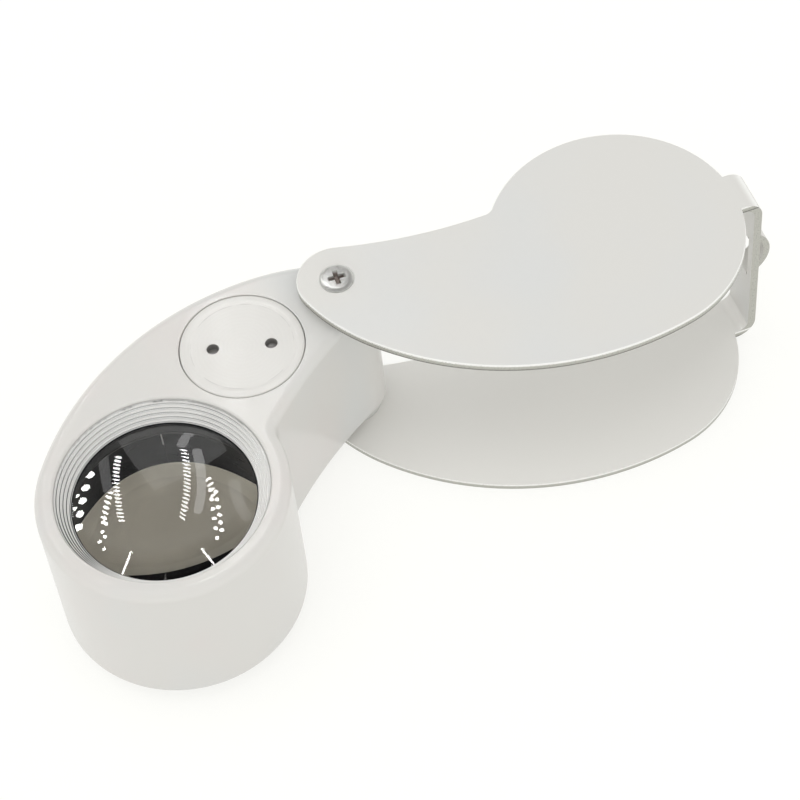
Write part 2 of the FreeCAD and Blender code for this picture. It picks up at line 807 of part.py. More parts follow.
def draw_cavity(sketch):
    """The neck's hollow, open to the barrel bore."""
    inset = S["body_inset"] + S["wall_thickness"] + S["ledge_width"]
    start = CAVITY_START
    end = CAVITY_END
    draw_path(
        sketch,
        [
            (start, belly_at(start, inset), BELLY_RADIUS - inset, 1),
            (end, belly_at(end, inset)),
            (end, waist_at(end, inset), S["waist_radius"] + inset, -1),
            (start, waist_at(start, inset)),
        ],
    )


def base_screw_places():
    heel = BASE_PLATE_HEEL - S["heel_screw_setback"]
    toe = BASE_PLATE_TOE - S["toe_screw_setback"]
    return (
        ("heel", heel, waist_at(heel, BASE_PLATE_INSET) - S["base_screw_edge"]),
        ("toe", toe, belly_at(toe, BASE_PLATE_INSET) + S["base_screw_edge"]),
    )


def switch_point(depth):
    """A point on the switch's own line, at a depth inside the convex flank."""
    reach = BELLY_RADIUS - S["body_inset"] - depth
    bearing = SWITCH_BEARING
    return BELLY_X + reach * sine(bearing), BELLY_Y - reach * cosine(bearing)


def switch_sketch(body, name, depth):
    """A sketch that faces out of the convex flank, at a depth inside it."""
    x, y = switch_point(depth)
    return turned_sketch(body, name, SWITCH_BEARING, x, y)


def draw_switch_box(sketch, length, height):
    half = length / 2
    rise = height / 2
    draw_box(sketch, -half, half, COVER_MIDDLE - rise, COVER_MIDDLE + rise)


def make_housing():
    housing = new_body("loupe_housing")
    outline = sketch_on(housing, "XY_Plane", "housing_outline", BODY_BASE)
    draw_outline(outline, ZERO, S["body_inset"])
    block = pad(housing, outline, BODY_HEIGHT)
    round_edges(housing, block, "housing_rims", S["rim_radius"], (BODY_BASE, BODY_TOP))

    well = sketch_on(housing, "XZ_Plane", "battery_well", -BATTERY_ASIDE)
    bind(well, "AttachmentOffset.Base.x", BATTERY_LEAD)
    seat_radius = CAP_RADIUS + GAP
    thread_radius = CAP_SPIGOT_RADIUS + GAP
    lid_mouth = S["lid_mouth_radius"]
    draw_path(
        well,
        [
            (ZERO, BODY_BASE - S["overrun"]),
            (WELL_RADIUS, BODY_BASE - S["overrun"]),
            (WELL_RADIUS, SLEEVE_TOP),
            (thread_radius, SLEEVE_TOP),
            (thread_radius, CAP_LEDGE),
            (seat_radius, CAP_LEDGE),
            (seat_radius, BODY_TOP - lid_mouth, lid_mouth, -1),
            (seat_radius + lid_mouth, BODY_TOP),
            (seat_radius + lid_mouth, BODY_TOP + S["overrun"]),
            (ZERO, BODY_TOP + S["overrun"]),
        ],
    )
    revolve(housing, well, "PartDesign::Groove")

    barrel = sketch_on(housing, "XZ_Plane", "barrel_bore")
    bind(barrel, "AttachmentOffset.Base.x", PIVOT_REACH)
    mouth = S["barrel_mouth_radius"]
    draw_path(
        barrel,
        [
            (ZERO, BODY_BASE - S["overrun"]),
            (BORE_RADIUS, BODY_BASE - S["overrun"]),
            (BORE_RADIUS, CELL_BASE),
            (CELL_RADIUS, CELL_BASE),
            (CELL_RADIUS, BODY_TOP - mouth, mouth, -1),
            (CELL_RADIUS + mouth, BODY_TOP),
            (CELL_RADIUS + mouth, BODY_TOP + S["overrun"]),
            (ZERO, BODY_TOP + S["overrun"]),
        ],
    )
    revolve(housing, barrel, "PartDesign::Groove")

    bush = sketch_on(housing, "XY_Plane", "bush_hole", BODY_BASE)
    draw_circle(bush, "bush", ZERO, ZERO, S["bush_radius"])
    pocket(housing, bush, BODY_HEIGHT, upward=True)

    plate_seat = sketch_on(housing, "XY_Plane", "base_plate_seat", BODY_BASE)
    draw_base_plate(plate_seat, ZERO)
    pocket(housing, plate_seat, S["base_plate_thickness"], upward=True)

    hollow = sketch_on(housing, "XY_Plane", "neck_cavity", BASE_PLATE_TOP)
    draw_cavity(hollow)
    pocket(housing, hollow, CAVITY_ROOF - BASE_PLATE_TOP, upward=True)

    switch_well = switch_sketch(housing, "switch_well", S["switch_setback"] + S["switch_depth"])
    half = S["switch_length"] / 2
    draw_box(switch_well, -half, half, BASE_PLATE_TOP, COVER_MIDDLE + S["switch_height"] / 2)
    pocket(housing, switch_well, S["switch_depth"], upward=True)
    knob_slot = S["knob_length"] + S["switch_travel"] + S["knob_margin"] * 2
    recess = switch_sketch(housing, "knob_recess", S["knob_recess"])
    draw_switch_box(recess, knob_slot, S["knob_height"] + S["knob_margin"] * 2)
    pocket(housing, recess, S["knob_recess"] + S["overrun"], upward=True)
    stem_slot = S["stem_length"] + S["switch_travel"] + S["knob_margin"] * 2
    window = switch_sketch(housing, "stem_window", S["switch_setback"])
    draw_switch_box(window, stem_slot, S["stem_height"] + S["knob_margin"] * 2)
    pocket(housing, window, S["switch_setback"], upward=True)

    name, lead, aside = base_screw_places()[0]
    boss = sketch_on(housing, "XY_Plane", "heel_boss", BASE_PLATE_TOP)
    draw_circle(boss, name, lead, aside, S["base_boss_radius"])
    pad(housing, boss, CAVITY_ROOF - BASE_PLATE_TOP)
    holes = sketch_on(housing, "XY_Plane", "base_screw_holes", BASE_PLATE_TOP)
    for name, lead, aside in base_screw_places():
        draw_circle(holes, name, lead, aside, S["base_screw_radius"])
    pocket(housing, holes, S["base_screw_length"], upward=True)
    seat(housing)
    return housing


def make_base_plate():
    plate = new_body("neck_base_plate")
    outline = sketch_on(plate, "XY_Plane", "base_plate_outline", BODY_BASE)
    draw_base_plate(outline, GAP)
    pad(plate, outline, S["base_plate_thickness"])
    posts = sketch_on(plate, "XY_Plane", "board_posts", BASE_PLATE_TOP)
    for index in range(BOARD_POSTS):
        bearing = as_size(index * 360 / BOARD_POSTS)
        x = BATTERY_LEAD + (BOARD_RADIUS - S["board_post_margin"]) * cosine(bearing)
        y = BATTERY_ASIDE + (BOARD_RADIUS - S["board_post_margin"]) * sine(bearing)
        draw_circle(posts, f"post_{index}", x, y, S["board_post_radius"])
    pad(plate, posts, BOARD_BASE - BASE_PLATE_TOP)
    heads = sketch_on(plate, "XY_Plane", "screw_head_seats", BODY_BASE)
    holes = sketch_on(plate, "XY_Plane", "screw_clearances", BODY_BASE)
    for name, lead, aside in base_screw_places():
        draw_circle(heads, name, lead, aside, S["base_screw_head_radius"])
        draw_circle(holes, name, lead, aside, S["base_screw_radius"])
    pocket(plate, heads, S["base_screw_head_height"], upward=True)
    pocket(plate, holes, S["base_plate_thickness"], upward=True)
    seat(plate)
    return plate


def make_base_screws():
    """Two equal screws in one node."""
    screws = []
    for name, lead, aside in base_screw_places():
        head = doc.addObject("Part::Cylinder", f"{name}_screw_head")
        bind(head, "Radius", S["base_screw_head_radius"])
        bind(head, "Height", S["base_screw_head_height"])
        shank = doc.addObject("Part::Cylinder", f"{name}_screw_shank")
        bind(shank, "Radius", S["base_screw_radius"])
        bind(shank, "Height", S["base_screw_length"] + S["base_plate_thickness"])
        slot = doc.addObject("Part::Box", f"{name}_screw_slot")
        bind(slot, "Length", S["base_screw_head_radius"] * 2)
        bind(slot, "Width", S["base_screw_head_radius"] / 3)
        bind(slot, "Height", S["base_screw_head_height"] / 2)
        bind(slot, "Placement.Base.x", -S["base_screw_head_radius"])
        bind(slot, "Placement.Base.y", -(S["base_screw_head_radius"] / 6))
        whole = doc.addObject("Part::Fuse", f"{name}_screw_blank")
        whole.Base = head
        whole.Tool = shank
        screw = doc.addObject("Part::Cut", f"{name}_screw")
        screw.Base = whole
        screw.Tool = slot
        bind(screw, "Placement.Base.x", lead)
        bind(screw, "Placement.Base.y", aside)
        bind(screw, "Placement.Base.z", BODY_BASE)
        screws.append(screw)
    pair = doc.addObject("Part::Compound", "base_plate_screws")
    pair.Label = "base_plate_screws"
    pair.Links = screws
    seat(pair)
    return pair


# Optics


def make_eyepiece_ring():
    """The stepped eyepiece, which is also the cell of both lenses."""
    corners = [
        (S["lens_radius"], CELL_BASE),
        (CELL_RADIUS, CELL_BASE),
        (CELL_RADIUS, BODY_TOP - S["step_height"]),
    ]
    tread = (CELL_RADIUS - APERTURE_RADIUS) / (EYEPIECE_STEPS - 1)
    for step in range(1, EYEPIECE_STEPS):
        radius = CELL_RADIUS - tread * step
        corners.append((radius, BODY_TOP - S["step_height"] * step))
        if step < EYEPIECE_STEPS - 1:
            corners.append((radius, BODY_TOP - S["step_height"] * (step + 1)))
    corners.append((APERTURE_RADIUS, LENS_SEAT))
    corners.append((S["lens_radius"], LENS_SEAT))
    ring = turned("eyepiece_ring", corners)
    seat(ring, PIVOT_REACH)
    return ring


def make_lens(label, base):
    """A biconvex lens with a cylindrical edge."""
    rim = S["lens_radius"]
    clear = APERTURE_RADIUS
    bulge = S["lens_bulge"]
    curve = (clear * clear + bulge * bulge) / (bulge * 2)
    top = base + S["lens_edge"]
    lens = turned(
        label,
        [
            (ZERO, base - bulge, curve, 1),
            (clear, base),
            (rim, base),
            (rim, top),
            (clear, top, curve, 1),
            (ZERO, top + bulge),
        ],
    )
    seat(lens, PIVOT_REACH)
    return lens


def make_light_tube():
    tube_body = turned(
        "light_tube",
        [
            (RING_OPENING, CAVITY_ROOF),
            (BORE_RADIUS, CAVITY_ROOF),
            (BORE_RADIUS, CELL_BASE),
            (APERTURE_RADIUS, CELL_BASE),
        ],
    )
    seat(tube_body, PIVOT_REACH)
    return tube_body


def lamp_places():
    """The two lamps, from the barrel axis towards the neck."""
    x = -(LAMP_REACH * cosine(S["lamp_bearing"]))
    y = LAMP_REACH * sine(S["lamp_bearing"])
    return (("white_led", x, -y), ("ultraviolet_led", x, y))


LAMP_TIP = BODY_BASE + S["ring_recess"] + S["lamp_tip_clearance"]
LAMP_SHOULDER = LAMP_TIP + S["lamp_radius"] + S["lamp_body_height"]
LAMP_TOP = LAMP_SHOULDER + S["lamp_flange_height"]


def make_led_ring():
    base = BODY_BASE + S["ring_recess"]
    ring = turned(
        "led_ring",
        [
            (RING_OPENING + S["ring_flare"], base),
            (BORE_RADIUS, base),
            (BORE_RADIUS, CAVITY_ROOF),
            (RING_OPENING, CAVITY_ROOF),
            (RING_OPENING, base + S["ring_flare"]),
        ],
    )
    bores = sketch_on(ring, "XY_Plane", "lamp_bores", base)
    seats = sketch_on(ring, "XY_Plane", "lamp_seats", CAVITY_ROOF)
    for name, x, y in lamp_places():
        draw_circle(bores, name, x, y, S["lamp_radius"])
        draw_circle(seats, name, x, y, S["lamp_flange_radius"])
    pocket(ring, bores, LAMP_SHOULDER - base, upward=True)
    pocket(ring, seats, CAVITY_ROOF - LAMP_SHOULDER)
    channel = sketch_on(ring, "XY_Plane", "lead_channel", CAVITY_ROOF)
    side = lamp_places()[1][2] + S["lamp_flange_radius"]
    left = -(BORE_RADIUS + S["overrun"])
    draw_box(channel, left, lamp_places()[1][1], -side, side)
    pocket(ring, channel, S["lead_channel_depth"])
    seat(ring, PIVOT_REACH)
    return ring


def make_lamp(label, x, y):
    """A round-nosed lamp that points down, with its collar on top."""
    nose = LAMP_TIP + S["lamp_radius"]
    lamp = turned(
        label,
        [
            (ZERO, LAMP_TIP, S["lamp_radius"], 1),
            (S["lamp_radius"], nose),
            (S["lamp_radius"], LAMP_SHOULDER),
            (S["lamp_flange_radius"], LAMP_SHOULDER),
            (S["lamp_flange_radius"], LAMP_TOP),
            (ZERO, LAMP_TOP),
        ],
    )
    seat(lamp, PIVOT_REACH + x, y)
    return lamp


def board_landing(bearing):
    """A point on the circuit board where a wire ends."""
    x = BATTERY_LEAD + (BOARD_RADIUS - S["landing_margin"]) * cosine(bearing)
    y = BATTERY_ASIDE + (BOARD_RADIUS - S["landing_margin"]) * sine(bearing)
    return x, y, BOARD_TOP


def make_led_wires():
    """Two wires from each lamp to the circuit board."""
    wires = new_body("led_wires")
    lift = CAVITY_ROOF - S["wire_radius"] * 2
    for name, x, y in lamp_places():
        side = 1 if y.value > 0 else -1
        for lead in (-1, 1):
            start = (PIVOT_REACH + x + S["lead_pitch"] / 2 * lead, y, LAMP_TOP)
            bearing = S["lamp_wire_bearing"] * side - S["lamp_wire_angle"] * lead
            add_wire(wires, f"{name}_wire_{lead + 2}", start, board_landing(bearing), lift)
    seat(wires)
    return wires


# Battery column


def battery_turned(label, corners):
    piece = turned(label, corners)
    seat(piece, BATTERY_LEAD, BATTERY_ASIDE)
    return piece


def make_battery_cap():
    spigot = CAP_SPIGOT_RADIUS
    cap = turned(
        "battery_cap",
        [
            (ZERO, HOLLOW_ROOF),
            (CAP_HOLLOW_RADIUS, HOLLOW_ROOF),
            (CAP_HOLLOW_RADIUS, SPIGOT_BASE),
            (spigot, SPIGOT_BASE),
            (spigot, CAP_SHOULDER),
            (CAP_RADIUS, CAP_SHOULDER),
            (CAP_RADIUS, BODY_TOP),
            (CAP_FIELD_RADIUS, BODY_TOP),
            (CAP_FIELD_RADIUS, BODY_TOP - S["cap_field_depth"]),
            (ZERO, BODY_TOP - S["cap_field_depth"]),
        ],
    )
    holes = sketch_on(cap, "XY_Plane", "spanner_holes", BODY_TOP - S["cap_field_depth"])
    for name, side in (("near", -1), ("far", 1)):
        draw_circle(holes, name, S["spanner_spacing"] / 2 * side, ZERO, S["spanner_radius"])
    pocket(cap, holes, S["spanner_depth"])
    seat(cap, BATTERY_LEAD, BATTERY_ASIDE, ZERO, S["spanner_bearing"])
    return cap


def make_cap_seal():
    seal = new_body("cap_seal")
    section = sketch_on(seal, "XZ_Plane", "cap_seal_section")
    middle = CAP_SPIGOT_RADIUS + S["seal_radius"]
    draw_circle(section, "seal", middle, CAP_SHOULDER - S["seal_radius"], S["seal_radius"])
    revolve(seal, section)
    seat(seal, BATTERY_LEAD, BATTERY_ASIDE)
    return seal


def make_cap_contact():
    """A dished spring disc between the lid and the top cell."""
    top = CELL_STACK_TOP + S["contact_height"]
    gauge = S["contact_thickness"]
    return battery_turned(
        "cap_contact",
        [
            (ZERO, CELL_STACK_TOP),
            (S["contact_pad_radius"], CELL_STACK_TOP),
            (CONTACT_RADIUS, top - gauge),
            (CONTACT_RADIUS, top),
            (S["contact_pad_radius"], CELL_STACK_TOP + gauge),
            (ZERO, CELL_STACK_TOP + gauge),
        ],
    )


def make_button_cell(index):
    """A button cell with its narrower cap downward."""
    base = CELL_STACK_BASE + S["button_height"] * index
    rim = S["button_rim"]
    return battery_turned(
        f"button_cell_{index + 1}",
        [
            (ZERO, base),
            (S["button_radius"] - rim * 2, base),
            (S["button_radius"] - rim, base + rim),
            (S["button_radius"], base + rim),
            (S["button_radius"], base + S["button_height"]),
            (ZERO, base + S["button_height"]),
        ],
    )


def make_battery_sleeve():
    """A plastic sleeve with an inner lip that carries the cells."""
    inner = SLEEVE_BORE
    lip = inner - S["sleeve_lip"]
    lip_base = CELL_STACK_BASE - S["sleeve_lip_height"]
    return battery_turned(
        "battery_sleeve",
        [
            (inner, CAVITY_ROOF),
            (WELL_RADIUS, CAVITY_ROOF),
            (WELL_RADIUS, SLEEVE_TOP),
            (inner, SLEEVE_TOP),
            (inner, CELL_STACK_BASE),
            (lip, CELL_STACK_BASE),
            (lip, lip_base),
            (inner, lip_base),
        ],
    )


def make_battery_spring():
    """A conical coil from the board to the lowest cell."""
    gauge = S["spring_wire_radius"]
    spring = new_body("battery_spring")
    section = sketch_on(spring, "XZ_Plane", "spring_section")
    draw_circle(section, "wire", SPRING_BASE_RADIUS, BOARD_TOP + gauge, gauge)
    coil = spring.newObject("PartDesign::AdditiveHelix", "spring_coil")
    coil.Profile = section
    coil.ReferenceAxis = (section, ["V_Axis"])
    coil.Mode = "height-turns-growth"
    coil.Turns = SPRING_TURNS
    bind(coil, "Height", CELL_STACK_BASE - BOARD_TOP - gauge * 2)
    growth = (SPRING_TOP_RADIUS - SPRING_BASE_RADIUS) / SPRING_TURNS
    bind(coil, "Growth", growth)
    seat(spring, BATTERY_LEAD, BATTERY_ASIDE)
    return spring


# Circuit board


def make_circuit_board():
    board = new_body("circuit_board")
    outline = sketch_on(board, "XY_Plane", "board_outline", BOARD_BASE)
    draw_circle(outline, "board", ZERO, ZERO, BOARD_RADIUS)
    pad(board, outline, S["board_thickness"])
    seat(board, BATTERY_LEAD, BATTERY_ASIDE)
    return board


def make_series_resistor():
    """The lamps' resistor, lying on the board beside the spring."""
    resistor = new_body("series_resistor")
    half = S["resistor_length"] / 2
    section = sketch_on(resistor, "XZ_Plane", "resistor_section", -half)
    height = BOARD_TOP + S["resistor_radius"]
    draw_circle(section, "resistor", -(BOARD_RADIUS - S["resistor_margin"]), height, S["resistor_radius"])
    pad(resistor, section, S["resistor_length"])
    seat(resistor, BATTERY_LEAD, BATTERY_ASIDE)
    return resistor


# Slide switch


def make_switch_case():
    """A hollow box with a slot towards the flank."""
    case = new_body("switch_case")
    back = S["switch_setback"] + S["switch_depth"]
    block = switch_sketch(case, "case_block", back)
    draw_switch_box(block, S["switch_length"], S["switch_height"])
    pad(case, block, S["switch_depth"])
    inside = switch_sketch(case, "case_inside", back - S["switch_wall"])
    wall = S["switch_wall"] * 2
    draw_switch_box(inside, S["switch_length"] - wall, S["switch_height"] - wall)
    pocket(case, inside, S["switch_depth"] - wall, upward=True)
    slot = switch_sketch(case, "case_slot", S["switch_setback"] + S["switch_wall"] * 2)
    stem_slot = S["stem_length"] + S["switch_travel"] + S["knob_margin"] * 2
    draw_switch_box(slot, stem_slot, S["stem_height"] + S["knob_margin"] * 2)
    pocket(case, slot, S["switch_wall"] * 2, upward=True)
    seat(case)
    return case


def make_switch_slider():
    """The block inside the case and the stem that carries the knob."""
    slider = new_body("switch_slider")
    front = S["switch_setback"] + S["switch_wall"] + GAP
    block = switch_sketch(slider, "slider_block", front + S["slider_depth"])
    height = S["switch_height"] - S["switch_wall"] * 2 - GAP * 2
    draw_switch_box(block, S["slider_length"], height)
    pad(slider, block, S["slider_depth"])
    stem = switch_sketch(slider, "slider_stem", front)
    draw_switch_box(stem, S["stem_length"], S["stem_height"])
    pad(slider, stem, front - S["knob_recess"] + GAP)
    seat(slider)
    return slider


def make_switch_knob():
    """The thumb piece in its recess, with grip grooves across its travel."""
    knob = new_body("switch_knob")
    inner = S["knob_recess"] - GAP
    block = switch_sketch(knob, "knob_block", inner)
    draw_switch_box(block, S["knob_length"], S["knob_height"])
    pad(knob, block, S["knob_thickness"])
    grooves = switch_sketch(knob, "knob_grooves", inner - S["knob_thickness"] + S["groove_depth"])
    half = S["groove_width"] / 2
    rise = S["knob_height"] / 2 + GAP
    for index in range(KNOB_GROOVES):
        middle = S["groove_pitch"] * (index - (KNOB_GROOVES - 1) / 2)
        low = COVER_MIDDLE - rise
        high = COVER_MIDDLE + rise
        draw_box(grooves, middle - half, middle + half, low, high, f"groove_{index}")
    pocket(knob, grooves, S["groove_depth"], upward=True)
    seat(knob)
    return knob


def make_switch_wires():
    """Three wires from the case down to the board."""
    wires = new_body("switch_wires")
    x, y = switch_point(S["switch_setback"] + S["switch_depth"] / 2)
    floor = COVER_MIDDLE - S["switch_height"] / 2
    lift = CAVITY_ROOF - S["wire_radius"] * 3
    for index in range(SWITCH_WIRES):
        step = S["contact_pitch"] * (index - (SWITCH_WIRES - 1) / 2)
        start_x = x + step * cosine(SWITCH_BEARING)
        start_y = y + step * sine(SWITCH_BEARING)
        bearing = S["switch_wire_bearing"] + S["switch_wire_angle"] * index
        end = board_landing(bearing)
        add_wire(wires, f"switch_wire_{index + 1}", (start_x, start_y, floor), end, lift)
    seat(wires)
    return wires


def make_pieces():
    reach = PIVOT_REACH
    clear = APERTURE_RADIUS
    rim = S["lens_radius"]
    pieces = [make_cover(), *make_pivot(), make_housing(), make_base_plate(), make_base_screws()]
    pieces.append(make_eyepiece_ring())
    pieces.append(make_lens("eye_lens", EYE_LENS_BASE))
    pieces.append(make_ring("lens_spacer", clear, rim, SPACER_BASE, EYE_LENS_BASE, reach))
    pieces.append(make_lens("field_lens", FIELD_LENS_BASE))
    pieces.append(make_ring("lens_retainer", clear, rim, CELL_BASE, FIELD_LENS_BASE, reach))
    pieces.extend([make_light_tube(), make_led_ring()])
    pieces.extend(make_lamp(name, x, y) for name, x, y in lamp_places())
    pieces.extend([make_led_wires(), make_circuit_board(), make_series_resistor()])
    pieces.extend([make_battery_sleeve(), make_battery_spring()])
    pieces.extend(make_button_cell(index) for index in range(BUTTON_CELLS))
    pieces.extend([make_cap_contact(), make_battery_cap(), make_cap_seal()])
    pieces.extend([make_switch_case(), make_switch_slider(), make_switch_knob()])
    pieces.append(make_switch_wires())
    return pieces


def check_model(pieces):
    """Stop if anything failed, if a cut missed, or if a piece is not sound."""
    for thing in doc.Objects:
        if "Invalid" in thing.State or "Error" in thing.State:
            raise RuntimeError(f"{thing.Name} did not recompute")
        if thing.TypeId in ("PartDesign::Pocket", "PartDesign::Groove"):
            if thing.Shape.Volume >= thing.BaseFeature.Shape.Volume:
                raise RuntimeError(f"{thing.Name} cuts nothing")
    for piece in pieces:
        if piece.Shape.isNull() or not piece.Shape.isValid():
            raise RuntimeError(f"{piece.Label} is not a sound shape")


PIECES = make_pieces()
doc.recompute()
check_model(PIECES)
os.makedirs("parts", exist_ok=True)
for piece in PIECES:
    piece.Shape.exportStep(f"parts/{piece.Label}.step")
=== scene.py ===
import logging
import math
from collections.abc import Callable, Sequence
from dataclasses import dataclass
from enum import Enum

import bmesh
import bpy
from bpy.types import ID, ColorRamp, Material, Mesh, Node, NodeTree, Object
from mathutils import Matrix, Vector


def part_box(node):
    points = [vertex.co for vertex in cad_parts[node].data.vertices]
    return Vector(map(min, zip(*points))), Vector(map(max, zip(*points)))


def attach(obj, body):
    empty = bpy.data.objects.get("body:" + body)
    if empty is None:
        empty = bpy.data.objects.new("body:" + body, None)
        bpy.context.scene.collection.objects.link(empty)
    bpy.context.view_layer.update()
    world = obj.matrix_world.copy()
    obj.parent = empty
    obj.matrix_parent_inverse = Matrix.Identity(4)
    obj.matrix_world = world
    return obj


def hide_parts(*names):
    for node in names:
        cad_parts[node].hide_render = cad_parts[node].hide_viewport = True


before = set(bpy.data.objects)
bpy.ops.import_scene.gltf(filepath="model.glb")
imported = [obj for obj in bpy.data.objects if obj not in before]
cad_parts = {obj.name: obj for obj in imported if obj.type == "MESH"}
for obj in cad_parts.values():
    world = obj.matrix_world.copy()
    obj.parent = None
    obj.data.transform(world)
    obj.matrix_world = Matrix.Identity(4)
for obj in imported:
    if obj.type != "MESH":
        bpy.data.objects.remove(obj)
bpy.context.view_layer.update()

# A folding jeweler's loupe with lamps: a bent sheet cover that also serves as the handle, a moulded
# body with a barrel and a neck that swings out of it, a two-lens cell over a black light tube, a
# battery column under a screwed lid, a lamp ring in the barrel's lower mouth and a slide switch.
# Sizes are in millimetres here and become metres where a mesh is made.

log = logging.getLogger("loupe")
MM = 0.001
ORIGIN = (0.0, 0.0, 0.0)
Colour = tuple[float, float, float, float]
Stops = Sequence[tuple[float, Colour]]
Point2 = tuple[float, float]
Point3 = tuple[float, float, float]


def shade(red: float, green: float, blue: float) -> Colour:
    """A colour as linear light, with full cover."""
    return (red, green, blue, 1.0)


def toned(colour: Colour, gain: float, offset: float = 0.0) -> Colour:
    """A colour made lighter or darker."""
    return shade(*(min(1.0, value * gain + offset) for value in colour[:3]))


def in_metres(place: Sequence[float]) -> tuple[float, ...]:
    """A place or size in millimetres turned into metres."""
    return tuple(value * MM for value in place)


def put(name: str, data: ID) -> Object:
    """Adds an object with its data to the scene."""
    made = bpy.data.objects.new(name, data)
    bpy.context.scene.collection.objects.link(made)
    return made


# Node building


def maths(operation: str, reflected: bool = False) -> Callable[..., "Signal"]:
    """Makes an operator of Signal, which adds one Math node.

    Args:
        operation: the Math node's operation.
        reflected: whether the operator's own term comes last.

    Returns:
        The method.
    """

    def method(self: "Signal", *others: "Signal | float") -> "Signal":
        """The node's result."""
        terms = (*others, self) if reflected else (self, *others)
        return self.bench.node("ShaderNodeMath", dict(enumerate(terms)), operation=operation)

    return method


class Signal:
    """One output socket. Arithmetic on it adds Math nodes; a comparison gives 1 where it holds."""

    __add__ = __radd__ = maths("ADD")
    __sub__ = maths("SUBTRACT")
    __rsub__ = maths("SUBTRACT", True)
    __mul__ = __rmul__ = maths("MULTIPLY")
    __truediv__ = maths("DIVIDE")
    __rtruediv__ = maths("DIVIDE", True)
    __pow__ = maths("POWER")
    __abs__ = maths("ABSOLUTE")
    __lt__ = maths("LESS_THAN")
    __gt__ = maths("GREATER_THAN")
    sine = maths("SINE")
    fraction = maths("FRACT")
    least = maths("MINIMUM")
    most = maths("MAXIMUM")

    def __init__(self, bench: "Bench", made: Node, output: int | str = 0) -> None:
        """Keeps a node and which of its outputs is meant.

        Args:
            bench: the bench that the node stands on.
            made: the node.
            output: the name or number of the output.
        """
        self.bench = bench
        self.made = made
        self.socket = made.outputs[output] if len(made.outputs) else None

    def other(self, output: int | str) -> "Signal":
        """Another output of the same node."""
        return Signal(self.bench, self.made, output)

    def eased(self, low: float, high: float) -> "Signal":
        """0 below low and 1 above high, with a soft change between."""
        inputs = {"Value": self, "From Min": low, "From Max": high}
        return self.bench.node("ShaderNodeMapRange", inputs, interpolation_type="SMOOTHSTEP")


class Bench:
    """Adds nodes to one tree, and sets or links their sockets."""

    def __init__(self, tree: NodeTree) -> None:
        """Takes the tree to build in."""
        self.tree = tree

    def node(
        self,
        kind: str,
        inputs: dict[int | str, object] | None = None,
        output: int | str = 0,
        **settings: object,
    ) -> Signal:
        """Adds one node of any type.

        Args:
            kind: the node's type.
            inputs: a value or a Signal for each named or numbered input.
            output: the output that the answer stands for.
            settings: its properties, set first; stops holds a ramp's places and colours.

        Returns:
            The node's output as a Signal.
        """
        made = self.tree.nodes.new(kind)
        for name, value in settings.items():
            if name == "stops":
                self._set_stops(made.color_ramp, value)
            else:
                setattr(made, name, value)
        for name, value in (inputs or {}).items():
            if isinstance(value, Signal):
                self.tree.links.new(value.socket, made.inputs[name])
            else:
                made.inputs[name].default_value = value
        return Signal(self, made, output)

    @staticmethod
    def _set_stops(ramp: ColorRamp, stops: Stops) -> None:
        """Gives a ramp its stops, from left to right.

        Args:
            ramp: the ramp.
            stops: the place and colour of each.
        """
        while len(ramp.elements) < len(stops):
            ramp.elements.new(1.0)
        for element, (place, colour) in zip(ramp.elements, stops):
            element.position = place
            element.color = colour

    def mix(self, factor: Signal | float, first: object, second: object) -> Signal:
        """A colour between two colours, the first where the factor is 0."""
        inputs = {0: factor, 6: first, 7: second}
        return self.node("ShaderNodeMix", inputs, 2, data_type="RGBA")

    def switch(self, factor: Signal, first: Signal, second: Signal) -> Signal:
        """A shader between two shaders, the first where the factor is 0."""
        return self.node("ShaderNodeMixShader", {0: factor, 1: first, 2: second})

    def place(
        self, centre: Point3 = ORIGIN, turn: float = 0.0, scale: Point3 = (1.0, 1.0, 1.0)
    ) -> Signal:
        """Object coordinates about a centre.

        Args:
            centre: the pattern's centre in millimetres.
            turn: its turn about the upright axis in degrees.
            scale: a stretch along each axis.

        Returns:
            The coordinates in metres.
        """
        inputs = {
            "Vector": self.node("ShaderNodeTexCoord", output="Object"),
            "Location": in_metres(centre),
            "Rotation": (0.0, 0.0, math.radians(turn)),
            "Scale": tuple(1.0 / value for value in scale),
        }
        return self.node("ShaderNodeMapping", inputs, vector_type="TEXTURE")

    def noise(self, where: Signal, grain: float, detail: float = 2.0, rough: float = 0.5) -> Signal:
        """Noise about 0.5.

        Args:
            where: the coordinates.
            grain: the features' width in millimetres.
            detail: how many finer layers are added.
            rough: how strong those are.

        Returns:
            The value.
        """
        inputs = {"Vector": where, "Scale": 1.0 / (grain * MM), "Detail": detail}
        return self.node("ShaderNodeTexNoise", {**inputs, "Roughness": rough})

    def spread(self, where: Signal) -> tuple[Signal, Signal, Signal]:
        """The three parts of a coordinate, in millimetres."""
        parts = self.node("ShaderNodeSeparateXYZ", {0: where})
        return tuple(parts.other(axis) * 1000.0 for axis in ("X", "Y", "Z"))

    def reach(self, across: Signal, along: Signal) -> Signal:
        """The distance from the centre of two parts."""
        return (across * across + along * along) ** 0.5

    def normal(self) -> Signal:
        """Where the surface looks."""
        return self.node("ShaderNodeTexCoord", output="Normal")

    def steepness(self) -> Signal:
        """0 on a level face and 1 on an upright one."""
        return 1.0 - abs(self.node("ShaderNodeSeparateXYZ", {0: self.normal()}, "Z"))

    def dot(self, where: Signal, way: Point3) -> Signal:
        """How far a vector runs along a way."""
        inputs = {0: where, 1: way}
        return self.node("ShaderNodeVectorMath", inputs, "Value", operation="DOT_PRODUCT")

    def bump(self, height: Signal, depth: float, strength: float = 1.0) -> Signal:
        """A normal from a height.

        Args:
            height: 0 to 1.
            depth: what 1 stands for in millimetres.
            strength: the share of the effect.

        Returns:
            The normal.
        """
        inputs = {"Height": height, "Distance": depth * MM, "Strength": strength}
        return self.node("ShaderNodeBump", inputs)


# Finishes


